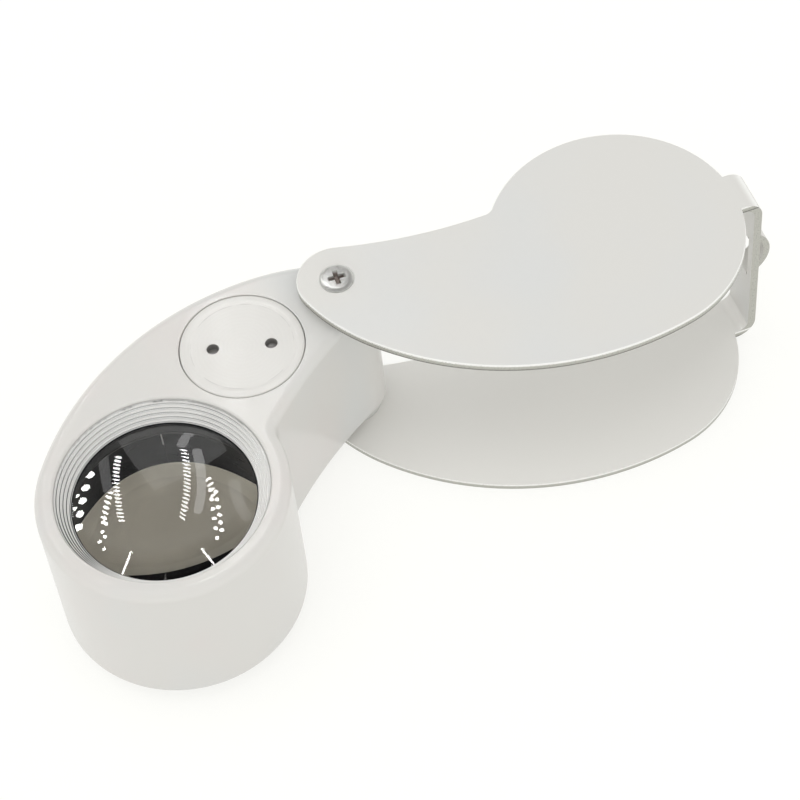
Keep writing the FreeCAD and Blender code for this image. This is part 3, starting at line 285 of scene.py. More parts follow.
class Finish:
    """A material of this object. Each kind says what its shader's sockets get."""

    made: dict["Finish", Material] = {}

    def sockets(self, bench: Bench) -> dict[str, object]:
        """The shader's inputs."""
        raise NotImplementedError

    def surface(self, bench: Bench) -> Signal:
        """The shader that the material ends in."""
        return bench.node("ShaderNodeBsdfPrincipled", self.sockets(bench))

    def material(self) -> Material:
        """The material, made when it is first asked for.

        Returns:
            The one material of this finish.
        """
        if self not in Finish.made:
            material = bpy.data.materials.new(f"{type(self).__name__}_{len(Finish.made)}")
            material.use_nodes = True
            material.node_tree.nodes.clear()
            bench = Bench(material.node_tree)
            bench.node("ShaderNodeOutputMaterial", {"Surface": self.surface(bench)})
            Finish.made[self] = material
        return Finish.made[self]

    def cover(self, mesh: Mesh) -> None:
        """Becomes a mesh's only material."""
        mesh.materials.clear()
        mesh.materials.append(self.material())


@dataclass(frozen=True)
class SatinPlate(Finish):
    """Warm white enamel on pressed sheet. Its cut edges are bare: a dull band, with a painted
    highlight along the arris and a painted contact shadow at its foot. The lower plate's inner face
    is painted lighter, as painted light.
    """

    colour: Colour = shade(0.745, 0.738, 0.712)
    cool: Colour = shade(0.728, 0.735, 0.728)
    # Painted light: the lower plate's inner face is given a lighter colour where the upper plate
    # shades it.
    inside: Colour = shade(0.85, 0.843, 0.815)
    arris_highlight: Colour = shade(0.95, 0.95, 0.93)
    gauge: float = 1.0
    top: float = 26.0
    skin: float = 0.02
    strip_deg: float = 12.0
    strip_start: float = 15.6
    roughness: float = 0.38

    def sockets(self, bench: Bench) -> dict[str, object]:
        """Slow colour drift, a fine enamel texture, and the layers of a cut edge with painted
        shadow and painted highlight.
        """
        where = bench.place()
        _, _, height = bench.spread(where)
        drift = bench.noise(where, 16.0, 1.0)
        speck = bench.noise(where, 0.12, 3.0, 0.6)
        rub = bench.noise(where, 2.5, 4.0, 0.65)
        steep = bench.steepness()
        upper = height > self.top - self.gauge - self.skin
        in_plate = upper.most(height < self.gauge + self.skin)
        cut = (steep.eased(0.45, 0.75) * in_plate).most(self._strip_edge(bench, where))
        level = height / self.gauge - (height > self.top * 0.5) * (self.top - self.gauge)
        stops = (
            # Painted contact shadow: the darkest stops sit at the foot of each plate's cut edge.
            (0.0, shade(0.12, 0.12, 0.11)),
            (0.12, shade(0.20, 0.20, 0.18)),
            # The grey middle stops are the bare cut edge's own tone.
            (0.2, shade(0.42, 0.42, 0.38)),
            (0.66, shade(0.52, 0.52, 0.475)),
            # Painted highlight: the top stops paint the arris bright.
            (0.78, self.arris_highlight),
            (1.0, self.arris_highlight),
        )
        layer = (level - 0.5) * in_plate + 0.5
        bands = bench.node("ShaderNodeValToRGB", {"Fac": layer}, stops=stops)
        # Painted highlight on the rounded edge where a face turns into the cut edge.
        corner = steep.eased(0.03, 0.3) * (1.0 - steep.eased(0.6, 0.9)) * in_plate
        base = bench.mix(drift.eased(0.35, 0.7), self.colour, self.cool)
        # Painted light on the lower plate's inner face, between the plates.
        lower = (height > self.gauge * 0.5) * (height < self.gauge * 2.0)
        base = bench.mix(lower, base, self.inside)
        with_painted_arris = bench.mix(corner * (1.0 - cut), base, self.arris_highlight)
        return {
            "Base Color": bench.mix(cut, with_painted_arris, bands),
            "Roughness": self.roughness + (speck - 0.5) * 0.08 - cut * 0.1 - corner * rub * 0.1,
            "Metallic": cut * 0.35,
            "Coat Weight": (1.0 - cut) * 0.2,
            "Coat Roughness": 0.22,
            "Normal": bench.bump(speck, 0.004, 0.5),
        }

    def _strip_edge(self, bench: Bench, where: Signal) -> Signal:
        """1 on the cut edges of the strip that joins the plates.

        Args:
            bench: the bench of the material.
            where: the coordinates.

        Returns:
            The share of cut edge.
        """
        bearing = math.radians(self.strip_deg)
        cosine, sine = math.cos(bearing), math.sin(bearing)
        turned = abs(bench.dot(bench.normal(), (-sine, cosine, 0.0)))
        reach = bench.dot(where, (cosine, sine, 0.0)) * 1000.0
        return turned.eased(0.8, 0.95) * (reach > self.strip_start)


@dataclass(frozen=True)
class PearlPaint(Finish):
    """Warm white paint on moulded plastic, with faint rose and blue drifts."""

    colour: Colour = shade(0.725, 0.715, 0.69)
    rose: Colour = shade(0.735, 0.70, 0.68)
    blue: Colour = shade(0.695, 0.715, 0.715)

    def sockets(self, bench: Bench) -> dict[str, object]:
        """Pearl drifts, a thin lacquer and a faint moulded ripple."""
        where = bench.place(scale=(1.0, 1.0, 0.6))
        first = bench.noise(where, 9.0, 2.0, 0.55)
        second = bench.noise(where, 14.0, 1.0)
        speck = bench.noise(where, 0.25, 2.0)
        rosy = bench.mix(first.eased(0.45, 0.75) * 0.7, self.colour, self.rose)
        return {
            "Base Color": bench.mix(second.eased(0.45, 0.75) * 0.7, rosy, self.blue),
            "Roughness": 0.3 + (speck - 0.5) * 0.06,
            "Coat Weight": 0.35,
            "Coat Roughness": 0.12,
            "Normal": bench.bump(speck, 0.003, 0.35),
        }


@dataclass(frozen=True)
class TerracedPaint(Finish):
    """The body's paint on the eyepiece, lighter than on the body and lighter still on its risers,
    as painted light against the funnel's shade, with painted shade in the fine grooves on its far
    side.
    """

    centre: Point2
    first: float
    pitch: float
    # Painted light: lighter than the body's paint, against the shade in the funnel.
    colour: Colour = shade(0.80, 0.795, 0.78)
    # Painted light: the steep risers are painted lighter still.
    painted_light_wall: Colour = shade(0.95, 0.95, 0.94)
    # Painted shade in the grooves, standing for their shadow lines.
    groove_shade: Colour = shade(0.04, 0.04, 0.04)
    # The bearing where the painted groove shade fades out.
    unshaded_deg: float = -50.0

    def sockets(self, bench: Bench) -> dict[str, object]:
        """Painted shade where the distance from the axis falls in a groove, fading out towards the
        unshaded bearing.
        """
        where = bench.place((*self.centre, 0.0), self.unshaded_deg)
        across, along, _ = bench.spread(where)
        ring = bench.reach(across, along)
        step = ((ring - self.first) / self.pitch).fraction()
        # The groove mask carries the painted shade, which fades by bearing below.
        groove = step.eased(0.12, 0.16) * (1.0 - step.eased(0.44, 0.48))
        groove = groove * (1.0 - (across / ring).eased(-0.4, 0.6))
        wander = bench.noise(where, 2.0, 3.0)
        speck = bench.noise(where, 0.2, 2.0)
        # Painted light on the steep risers.
        plain = bench.mix(bench.steepness().eased(0.2, 0.7), self.colour, self.painted_light_wall)
        return {
            "Base Color": bench.mix(groove * (0.7 + wander * 0.5), plain, self.groove_shade),
            "Roughness": 0.3 + groove * 0.3 + (speck - 0.5) * 0.06,
            "Coat Weight": 0.25 - groove * 0.25,
            "Coat Roughness": 0.12,
            "Normal": bench.bump(speck, 0.002, 0.35),
        }


@dataclass(frozen=True)
class LidPaint(Finish):
    """The body's paint on the turned lid: faint rings, a fine inner line and darker holes."""

    centre: Point2
    face: float
    holes_deg: float
    holes_apart: float
    hole_reach: float
    line_reach: float = 6.1
    colour: Colour = shade(0.735, 0.725, 0.70)
    hole_tone: Colour = shade(0.34, 0.33, 0.32)
    pitch: float = 0.5
    contrast: float = 0.12

    def sockets(self, bench: Bench) -> dict[str, object]:
        """Rings by the distance from the axis, and a darker, half-metallic colour below the face
        near each hole.
        """
        where = bench.place((*self.centre, 0.0), self.holes_deg)
        across, along, height = bench.spread(where)
        ring = bench.reach(across, along)
        wander = bench.noise(where, 3.0, 3.0)
        wave = (ring * (math.tau / self.pitch) + wander * 9.0).sine() * 0.5 + 0.5
        grain = bench.noise(where, 0.2, 2.0)
        line = (1.0 - abs(ring - self.line_reach).eased(0.03, 0.08)) * wander.eased(0.4, 0.6)
        marks = (wave * wander * self.contrast).most(line * 0.9)
        turned = bench.mix(marks, self.colour, toned(self.colour, 0.8))
        hole = bench.reach(abs(across) - self.holes_apart / 2, along)
        # Darker and half metallic inside each hole, below the face.
        drilled = (hole < self.hole_reach + 0.06) * (height < self.face - 0.12)
        return {
            "Base Color": bench.mix(drilled, turned, self.hole_tone),
            "Roughness": 0.3 + (wave - 0.5) * 0.03 + (grain - 0.5) * 0.06,
            "Metallic": drilled * 0.4,
            "Coat Weight": 0.25 - drilled * 0.25,
            "Coat Roughness": 0.15,
            "Normal": bench.bump(wave, 0.001, 0.5),
        }


@dataclass(frozen=True)
class Moulded(Finish):
    """Moulded plastic or rubber: a fine spark-eroded grain, with scuffs."""

    colour: Colour
    roughness: float = 0.4
    grain: float = 0.12
    depth: float = 0.006
    sheen: float = 0.0

    def sockets(self, bench: Bench) -> dict[str, object]:
        """A grain for the bump and broad patches for gloss and colour."""
        where = bench.place()
        grain = bench.noise(where, self.grain, 3.0, 0.6)
        patch = bench.noise(where, 3.0, 3.0, 0.6)
        worn = patch.eased(0.4, 0.75) * 0.5
        return {
            "Base Color": bench.mix(worn, self.colour, toned(self.colour, 1.25, 0.004)),
            "Roughness": self.roughness + (patch - 0.5) * 0.15 + (grain - 0.5) * 0.05,
            "Sheen Weight": self.sheen,
            "Normal": bench.bump(grain, self.depth, 0.5),
        }


@dataclass(frozen=True)
class TubeLacquer(Finish):
    """Violet-black moulded plastic with a mould seam near its top, painted pale along the seam as a
    painted highlight.
    """

    centre: Point2
    seam_deg: float
    seam_from: float
    colour: Colour = shade(0.006, 0.005, 0.008)
    smoke: Colour = shade(0.022, 0.020, 0.026)
    # Painted highlight: the pale colour along the seam stands for the light it catches.
    seam: Colour = shade(0.65, 0.63, 0.65)

    def sockets(self, bench: Bench) -> dict[str, object]:
        """Smoky upright drifts and the painted highlight along the seam."""
        out, aside, height = bench.spread(bench.place((*self.centre, 0.0), self.seam_deg))
        stretched = bench.place((*self.centre, 0.0), scale=(1.0, 1.0, 4.0))
        drift = bench.noise(stretched, 2.6, 3.0, 0.6)
        # Mask of the painted seam highlight.
        line = (1.0 - abs(aside).eased(0.04, 0.1)) * (out > 0.0) * (height > self.seam_from)
        dark = bench.mix(drift.eased(0.45, 0.75), self.colour, self.smoke)
        return {
            "Base Color": bench.mix(line, dark, self.seam),
            "Roughness": 0.3 + (drift - 0.5) * 0.2,
            "Specular IOR Level": 0.1,
            "Normal": bench.bump(drift, 0.01, 0.3),
        }


@dataclass(frozen=True)
class PlainMetal(Finish):
    """Plated or bare metal with wear, hairlines and slight tarnish."""

    colour: Colour
    tarnish: Colour
    roughness: float = 0.25
    grain: float = 0.5
    hair_turn: float = math.degrees(0.6)

    def sockets(self, bench: Bench) -> dict[str, object]:
        """Patches of tarnish and stretched hairlines."""
        patch = bench.noise(bench.place(), self.grain, 4.0, 0.6)
        hair = bench.noise(bench.place(turn=self.hair_turn, scale=(12.0, 1.0, 1.0)), 0.08, 2.0)
        return {
            "Base Color": bench.mix(patch.eased(0.45, 0.75), self.colour, self.tarnish),
            "Metallic": 1.0,
            "Roughness": self.roughness + (hair - 0.5) * 0.2 + (patch - 0.5) * 0.15,
            "Normal": bench.bump(hair, 0.002, 0.5),
        }


@dataclass(frozen=True)
class ScrewSteel(Finish):
    """Plated steel: a bright rubbed head, and brown grime with painted shade low in its cross
    recess.
    """

    centre: Point2
    face: float
    way: int
    recess_reach: float = 1.35
    mark_pitch: float = 0.09
    colour: Colour = shade(0.72, 0.72, 0.70)
    dull: Colour = shade(0.54, 0.54, 0.52)
    # Brown grime and painted shade in the recess, darker with depth.
    grime_and_shade: Colour = shade(0.16, 0.105, 0.08)

    def sockets(self, bench: Bench) -> dict[str, object]:
        """Circular polishing marks, dull patches, and grime with painted shade, darker by depth
        below the face.
        """
        where = bench.place((*self.centre, 0.0))
        across, along, height = bench.spread(where)
        ring = bench.reach(across, along)
        patch = bench.noise(where, 0.7, 4.0, 0.6)
        hair = (ring * (math.tau / self.mark_pitch) + patch * 6.0).sine() * 0.5 + 0.5
        sunk = ((self.face - height) * float(self.way)).eased(0.12, 0.45)
        # Mask of the grime and painted shade: below the face inside the recess.
        grimed_and_shaded = sunk * (ring < self.recess_reach)
        plain = bench.mix(patch.eased(0.4, 0.75), self.colour, self.dull)
        return {
            "Base Color": bench.mix(grimed_and_shaded * (0.55 + patch * 0.45), plain, self.grime_and_shade),
            "Metallic": 0.7 - grimed_and_shaded * 0.5,
            "Roughness": 0.36 + (hair - 0.5) * 0.1 + (patch - 0.5) * 0.12 + grimed_and_shaded * 0.1,
            "Normal": bench.bump(hair, 0.001, 0.4),
        }


@dataclass(frozen=True)
class ClearGlass(Finish):
    """Optical glass or clear resin, coated where its glare is below 1."""

    tint: Colour
    index: float = 1.52
    roughness: float = 0.0
    glare: float = 1.0

    def surface(self, bench: Bench) -> Signal:
        """Glass for eyes and reflections, clear for shadow rays."""
        dust = bench.noise(bench.place(), 0.35, 4.0, 0.7).eased(0.62, 0.8)
        sockets = {
            "Base Color": bench.mix(dust * 0.1, self.tint, shade(0.8, 0.8, 0.8)),
            "Roughness": self.roughness + dust * 0.02,
            "IOR": self.index,
            "Specular Tint": shade(self.glare, self.glare, self.glare),
            "Transmission Weight": 1.0,
        }
        glass = bench.node("ShaderNodeBsdfPrincipled", sockets)
        clear = bench.node("ShaderNodeBsdfTransparent", {"Color": self.tint})
        return bench.switch(bench.node("ShaderNodeLightPath", output="Is Shadow Ray"), glass, clear)


@dataclass(frozen=True)
class WireSleeve(Finish):
    """Soft plastic insulation."""

    colour: Colour

    def sockets(self, bench: Bench) -> dict[str, object]:
        """Even colour with slight stretch marks."""
        mark = bench.noise(bench.place(), 0.3, 3.0)
        stretched = mark.eased(0.55, 0.8) * 0.3
        return {
            "Base Color": bench.mix(stretched, self.colour, toned(self.colour, 0.7, 0.25)),
            "Roughness": 0.38 + (mark - 0.5) * 0.2,
            "Normal": bench.bump(mark, 0.01, 0.4),
        }


@dataclass(frozen=True)
class BoardLaminate(Finish):
    """Green laminate with copper tracks under its mask, which run in a square pattern."""

    centre: Point2
    mask: Colour = shade(0.01, 0.12, 0.045)
    track: Colour = shade(0.03, 0.25, 0.09)
    tracks_per_metre: float = 520.0

    def sockets(self, bench: Bench) -> dict[str, object]:
        """Tracks from a cell pattern, with a fine weave in the gloss."""
        where = bench.place((*self.centre, 0.0))
        inputs = {"Vector": where, "Scale": self.tracks_per_metre}
        cells = bench.node("ShaderNodeTexVoronoi", inputs, distance="MANHATTAN", feature="F1")
        width = cells.eased(0.46, 0.5)
        weave = bench.noise(where, 0.15, 2.0)
        return {
            "Base Color": bench.mix(width, self.mask, self.track),
            "Roughness": 0.28 + (weave - 0.5) * 0.1,
            "Coat Weight": 0.4,
            "Normal": bench.bump(width, 0.03, 0.6),
        }


@dataclass(frozen=True)
class BandedBody(Finish):
    """A resistor's beige lacquer with its colour bands, each at its place along the body."""

    centre: Point3
    turn: float
    lacquer: Colour = shade(0.62, 0.47, 0.30)
    bands: Stops = (
        (-0.9, shade(0.45, 0.05, 0.02)),
        (-0.4, shade(0.02, 0.02, 0.02)),
        (0.1, shade(0.20, 0.06, 0.02)),
        (0.85, shade(0.55, 0.35, 0.08)),
    )

    def sockets(self, bench: Bench) -> dict[str, object]:
        """Four bands along the body."""
        where = bench.place(self.centre, self.turn)
        _, along, _ = bench.spread(where)
        colour: object = self.lacquer
        for middle, band in self.bands:
            colour = bench.mix(1.0 - abs(along - middle).eased(0.11, 0.15), colour, band)
        speck = bench.noise(where, 0.2, 2.0)
        return {
            "Base Color": colour,
            "Roughness": 0.3 + (speck - 0.5) * 0.1,
            "Normal": bench.bump(speck, 0.01, 0.3),
        }


def first_mirror(path: Signal) -> Signal:
    """1 for a ray that has been reflected once since it left the camera, and not refracted."""
    once = (path.other("Ray Depth") < 1.5) * (1.0 - path.other("Is Transmission Ray"))
    return path.other("Is Glossy Ray") * once


@dataclass(frozen=True)
class GlowFloor(Finish):
    """A pale floor that eyes and mirrors see as white, and that still takes the object's shadow."""

    bounce: Colour = shade(0.46, 0.457, 0.445)
    seen: Colour = shade(0.24, 0.24, 0.236)
    lift: float = 0.79
    through: float = 0.3
    fill: float = 0.28

    def surface(self, bench: Bench) -> Signal:
        """Plain diffuse with a lift for camera and mirror rays, and clear from below."""
        path = bench.node("ShaderNodeLightPath")
        looked = path.other("Is Camera Ray").most(first_mirror(path))
        colour = bench.mix(looked, self.bounce, self.seen)
        plain = bench.node("ShaderNodeBsdfDiffuse", {"Color": colour})
        share = looked.most(path.other("Is Transmission Ray") * self.through)
        strength = (share * self.lift).most(self.fill)
        glow = {"Color": shade(1.0, 1.0, 0.97), "Strength": strength}
        light = bench.node("ShaderNodeEmission", glow)
        top = bench.node("ShaderNodeAddShader", {0: plain, 1: light})
        below = bench.node("ShaderNodeNewGeometry", output="Backfacing")
        return bench.switch(below, top, bench.node("ShaderNodeBsdfTransparent"))


@dataclass(frozen=True)
class StudioStrip(Finish):
    """A strip light that only mirrors and glass see."""

    strength: float

    def surface(self, bench: Bench) -> Signal:
        """Bright for a first reflection and clear for all other rays."""
        glossy = first_mirror(bench.node("ShaderNodeLightPath"))
        bright = bench.node("ShaderNodeEmission", {"Strength": self.strength})
        return bench.switch(glossy, bench.node("ShaderNodeBsdfTransparent"), bright)


# Meshes


class Shape:
    """Makes meshes from millimetre sizes. An edge sharper than a shape's crease stays sharp."""

    @staticmethod
    def smoothed(mesh: Mesh, crease: float) -> Mesh:
        """Shades a mesh smooth but for edges above an angle in degrees."""
        mesh.shade_smooth()
        mesh.set_sharp_from_angle(angle=math.radians(crease))
        return mesh

    @staticmethod
    def eased(corners: Sequence[tuple[float, ...]], closed: bool, steps: int = 4) -> list[Point2]:
        """Rounds a profile's corners.

        Args:
            corners: reach, height and, where a corner is rounded, how far the rounding runs.
            closed: whether the last corner joins the first.
            steps: points in each rounding.

        Returns:
            The profile's points.
        """
        points: list[Point2] = []
        count = len(corners)
        for index, corner in enumerate(corners):
            here = Vector(corner[:2])
            run = corner[2] if len(corner) > 2 else 0.0
            if not run or not (closed or 0 < index < count - 1):
                points.append(tuple(here))
                continue
            before = Vector(corners[index - 1][:2]) - here
            after = Vector(corners[(index + 1) % count][:2]) - here
            start = here + before.normalized() * min(run, before.length * 0.49)
            end = here + after.normalized() * min(run, after.length * 0.49)
            for step in range(steps + 1):
                part = step / steps
                first = start.lerp(here, part)
                points.append(tuple(first.lerp(here.lerp(end, part), part)))
        return points

    @staticmethod
    def arc(radius: float, reach: float, height: float, side: int, steps: int = 48) -> list[Point2]:
        """A cap's profile from its rim to the axis.

        Args:
            radius: the sphere's radius.
            reach: the rim's distance from the axis.
            height: the rim's height.
            side: 1 for a cap that rises to the axis, -1 for one that falls.
            steps: points on the way.

        Returns:
            Points from the rim to the axis.
        """
        sink = math.sqrt(radius * radius - reach * reach)
        points = []
        for step in range(steps + 1):
            part = reach * (1.0 - step / steps)
            points.append((part, height + side * (math.sqrt(radius**2 - part**2) - sink)))
        return points

    @staticmethod
    def lathe(
        profile: Sequence[Point2],
        centre: Point2,
        segments: int = 128,
        closed: bool = True,
        crease: float = 32.0,
    ) -> Mesh:
        """Turns a profile about an upright axis.

        Args:
            profile: reach and height of each point.
            centre: where the axis stands.
            segments: faces round the axis.
            closed: whether the profile closes on itself; one that starts and ends on the axis does.
            crease: the angle in degrees above which an edge stays sharp.

        Returns:
            The mesh, with its faces outward.
        """
        cast = bmesh.new()
        rows = []
        for reach, height in profile:
            row = []
            for index in range(1 if reach < 1e-6 else segments):
                angle = math.tau * index / segments
                spot = (reach * math.cos(angle), reach * math.sin(angle), height)
                row.append(cast.verts.new(spot))
            rows.append(row)
        pairs = list(zip(rows, rows[1:]))
        if closed and len(rows[0]) > 1 and len(rows[-1]) > 1:
            pairs.append((rows[-1], rows[0]))
        for first, second in pairs:
            for index in range(segments):
                after = (index + 1) % segments
                ends = ((first, index), (first, after), (second, after), (second, index))
                corners = list(dict.fromkeys(row[spot % len(row)] for row, spot in ends))
                if len(corners) > 2:
                    cast.faces.new(corners)
        bmesh.ops.transform(cast, matrix=Matrix.Translation((*centre, 0.0)), verts=cast.verts)
        return Shape.cast(cast, crease)

    @staticmethod
    def turned(
        corners: Sequence[tuple[float, ...]],
        centre: Point2 = ORIGIN[:2],
        segments: int = 128,
        closed: bool = False,
        crease: float = 32.0,
        steps: int = 4,
    ) -> Mesh:
        """Rounds a profile's corners and turns it, as eased and lathe say."""
        return Shape.lathe(Shape.eased(corners, closed, steps), centre, segments, closed, crease)

    @staticmethod
    def cast(cast: bmesh.types.BMesh, crease: float) -> Mesh:
        """Ends a millimetre bmesh as a mesh in metres with its faces outward.

        Args:
            cast: the bmesh, freed here.
            crease: the angle in degrees above which an edge stays sharp.

        Returns:
            The mesh.
        """
        bmesh.ops.remove_doubles(cast, verts=cast.verts, dist=1e-5)
        bmesh.ops.recalc_face_normals(cast, faces=cast.faces)
        bmesh.ops.scale(cast, vec=(MM, MM, MM), verts=cast.verts)
        return Shape.smoothed(Shape.plain(cast), crease)

    @staticmethod
    def plain(cast: bmesh.types.BMesh) -> Mesh:
        """Turns a bmesh into a mesh and frees it."""
        mesh = bpy.data.meshes.new("cast")
        cast.to_mesh(mesh)
        cast.free()
        return mesh

    @staticmethod
    def box(size: Point3, round_off: float, centre: Point3 = ORIGIN, turn: float = 0.0) -> Mesh:
        """A block with rounded edges.

        Args:
            size: its three sides.
            round_off: the edges' radius.
            centre: its middle.
            turn: its bearing about the upright axis in radians.

        Returns:
            The mesh.
        """
        cast = bmesh.new()
        bmesh.ops.create_cube(cast, size=1.0)
        bmesh.ops.scale(cast, vec=size, verts=cast.verts)
        rounding = {"offset": round_off, "segments": 3, "profile": 0.5, "affect": "EDGES"}
        bmesh.ops.bevel(cast, geom=cast.edges[:], **rounding)
        place = Matrix.Translation(centre) @ Matrix.Rotation(turn, 4, "Z")
        bmesh.ops.transform(cast, matrix=place, verts=cast.verts)
        return Shape.cast(cast, 40.0)

    @staticmethod
    def cross(long: float, wide: float, face: float, floor: float) -> Mesh:
        """A tapered cross prism about the upright axis, the cutter of a cross recess.

        Args:
            long: each arm's reach at the face.
            wide: half of an arm's width at the face.
            face: the height of its wide end.
            floor: the height of its narrow end.

        Returns:
            The mesh.
        """
        cast = bmesh.new()
        rings = []
        for height, part in ((face, 1.08), (floor, 0.6)):
            ring = []
            for quarter in range(4):
                turn = Matrix.Rotation(quarter * math.pi / 2, 3, "Z")
                for x, y in ((wide, -wide), (long, -wide), (long, wide)):
                    spot = turn @ Vector((x * part, y * part, 0.0))
                    ring.append(cast.verts.new((spot.x, spot.y, height)))
            rings.append(ring)
        first, last = rings
        cast.faces.new(first)
        cast.faces.new(last[::-1])
        for index in range(len(first)):
            after = (index + 1) % len(first)
            cast.faces.new((first[after], first[index], last[index], last[after]))
        bmesh.ops.recalc_face_normals(cast, faces=cast.faces)
        bmesh.ops.triangulate(cast, faces=cast.faces)
        return Shape.cast(cast, 30.0)

    @staticmethod
    def merged(meshes: Sequence[Mesh], sewn: bool = False) -> Mesh:
        """Joins several meshes into one.

        Args:
            meshes: the meshes, in place.
            sewn: whether they share a border and become one closed skin that faces outward.

        Returns:
            The whole mesh.
        """
        cast = bmesh.new()
        for mesh in meshes:
            cast.from_mesh(mesh)
        if not sewn:
            return Shape.plain(cast)
        bmesh.ops.remove_doubles(cast, verts=cast.verts, dist=2e-6)
        bmesh.ops.recalc_face_normals(cast, faces=cast.faces)
        return Shape.smoothed(Shape.plain(cast), 30.0)

    @staticmethod
    def carve(target: Mesh, cutter: Mesh) -> Mesh:
        """Cuts one mesh out of another.

        Args:
            target: what is cut.
            cutter: what is taken away.

        Returns:
            The cut mesh.
        """
        body, tool = put("carve_body", target), put("carve_tool", cutter)
        cut = body.modifiers.new("cut", "BOOLEAN")
        cut.operation = "DIFFERENCE"
        cut.solver = "EXACT"
        cut.object = tool
        graph = bpy.context.evaluated_depsgraph_get()
        mesh = bpy.data.meshes.new_from_object(body.evaluated_get(graph))
        for used in (body, tool):
            bpy.data.objects.remove(used)
        return Shape.smoothed(mesh, 30.0)

    @staticmethod
    def set_down(mesh: Mesh, spot: Point2, turn_deg: float = 0.0) -> Mesh:
        """Turns a mesh made round the origin and moves it to its spot in millimetres."""
        turn = Matrix.Rotation(math.radians(turn_deg), 4, "Z")
        mesh.transform(Matrix.Translation(in_metres((*spot, 0.0))) @ turn)
        return mesh


class Recipe:
    """A Geometry Nodes tree with named inputs, run once into a plain mesh."""

    KINDS = {int: "NodeSocketInt", float: "NodeSocketFloat", tuple: "NodeSocketVector"}

    def __init__(self, name: str, inputs: dict[str, int | float | Point3]) -> None:
        """Opens the tree.

        Args:
            name: the tree's name.
            inputs: each input's first value, whose type gives the socket's type.
        """
        self.tree = bpy.data.node_groups.new(name, "GeometryNodeTree")
        sockets = self.tree.interface
        self.labels: dict[str, str] = {}
        for label, value in inputs.items():
            socket = sockets.new_socket(label, in_out="INPUT", socket_type=self.KINDS[type(value)])
            socket.default_value = value
            self.labels[label] = socket.identifier
        finish = sockets.new_socket("Finish", in_out="INPUT", socket_type="NodeSocketMaterial")
        self.labels["Finish"] = finish.identifier
        sockets.new_socket("Mesh", in_out="OUTPUT", socket_type="NodeSocketGeometry")
        self.bench = Bench(self.tree)
        self.node = self.bench.node
        self.given = self.node("NodeGroupInput")

    def ask(self, *same: str, **renamed: str) -> dict[str, Signal]:
        """The recipe's inputs as a node's inputs.

        Args:
            same: inputs that go by the same name in both.
            renamed: the recipe's name for each of the node's.

        Returns:
            A Signal for each of the node's inputs.
        """
        wanted = {**{label: label for label in same}, **renamed}
        return {name: self.given.other(label) for name, label in wanted.items()}

    def close(self, geometry: Signal) -> "Recipe":
        """Ends the tree in real geometry with its material, moved to its place if it asks for one.

        Args:
            geometry: what the tree has made.

        Returns:
            The recipe.
        """
        if "Place" in self.labels:
            inputs = {"Geometry": geometry, **self.ask(Translation="Place")}
            geometry = self.node("GeometryNodeTransform", inputs)
        real = self.node("GeometryNodeRealizeInstances", {0: geometry})
        inputs = {"Geometry": real, **self.ask(Material="Finish")}
        self.node("NodeGroupOutput", {0: self.node("GeometryNodeSetMaterial", inputs)})
        return self

    def run(
        self, finish: Finish, sizes: dict[str, float | Sequence[float]], plain: dict[str, object]
    ) -> Mesh:
        """Runs the tree.

        Args:
            finish: the finish of what it makes.
            sizes: lengths and places for named inputs, in millimetres.
            plain: counts and turns for named inputs.

        Returns:
            A plain mesh.
        """
        host = put("recipe_host", bpy.data.meshes.new("recipe_host"))
        modifier = host.modifiers.new("recipe", "NODES")
        modifier.node_group = self.tree
        for label, size in sizes.items():
            modifier[self.labels[label]] = size * MM if isinstance(size, float) else in_metres(size)
        for label, value in {**plain, "Finish": finish.material()}.items():
            modifier[self.labels[label]] = value
        host.update_tag()
        graph = bpy.context.evaluated_depsgraph_get()
        mesh = bpy.data.meshes.new_from_object(host.evaluated_get(graph))
        host.modifiers.clear()
        bpy.data.objects.remove(host)
        return Shape.smoothed(mesh, 35.0)


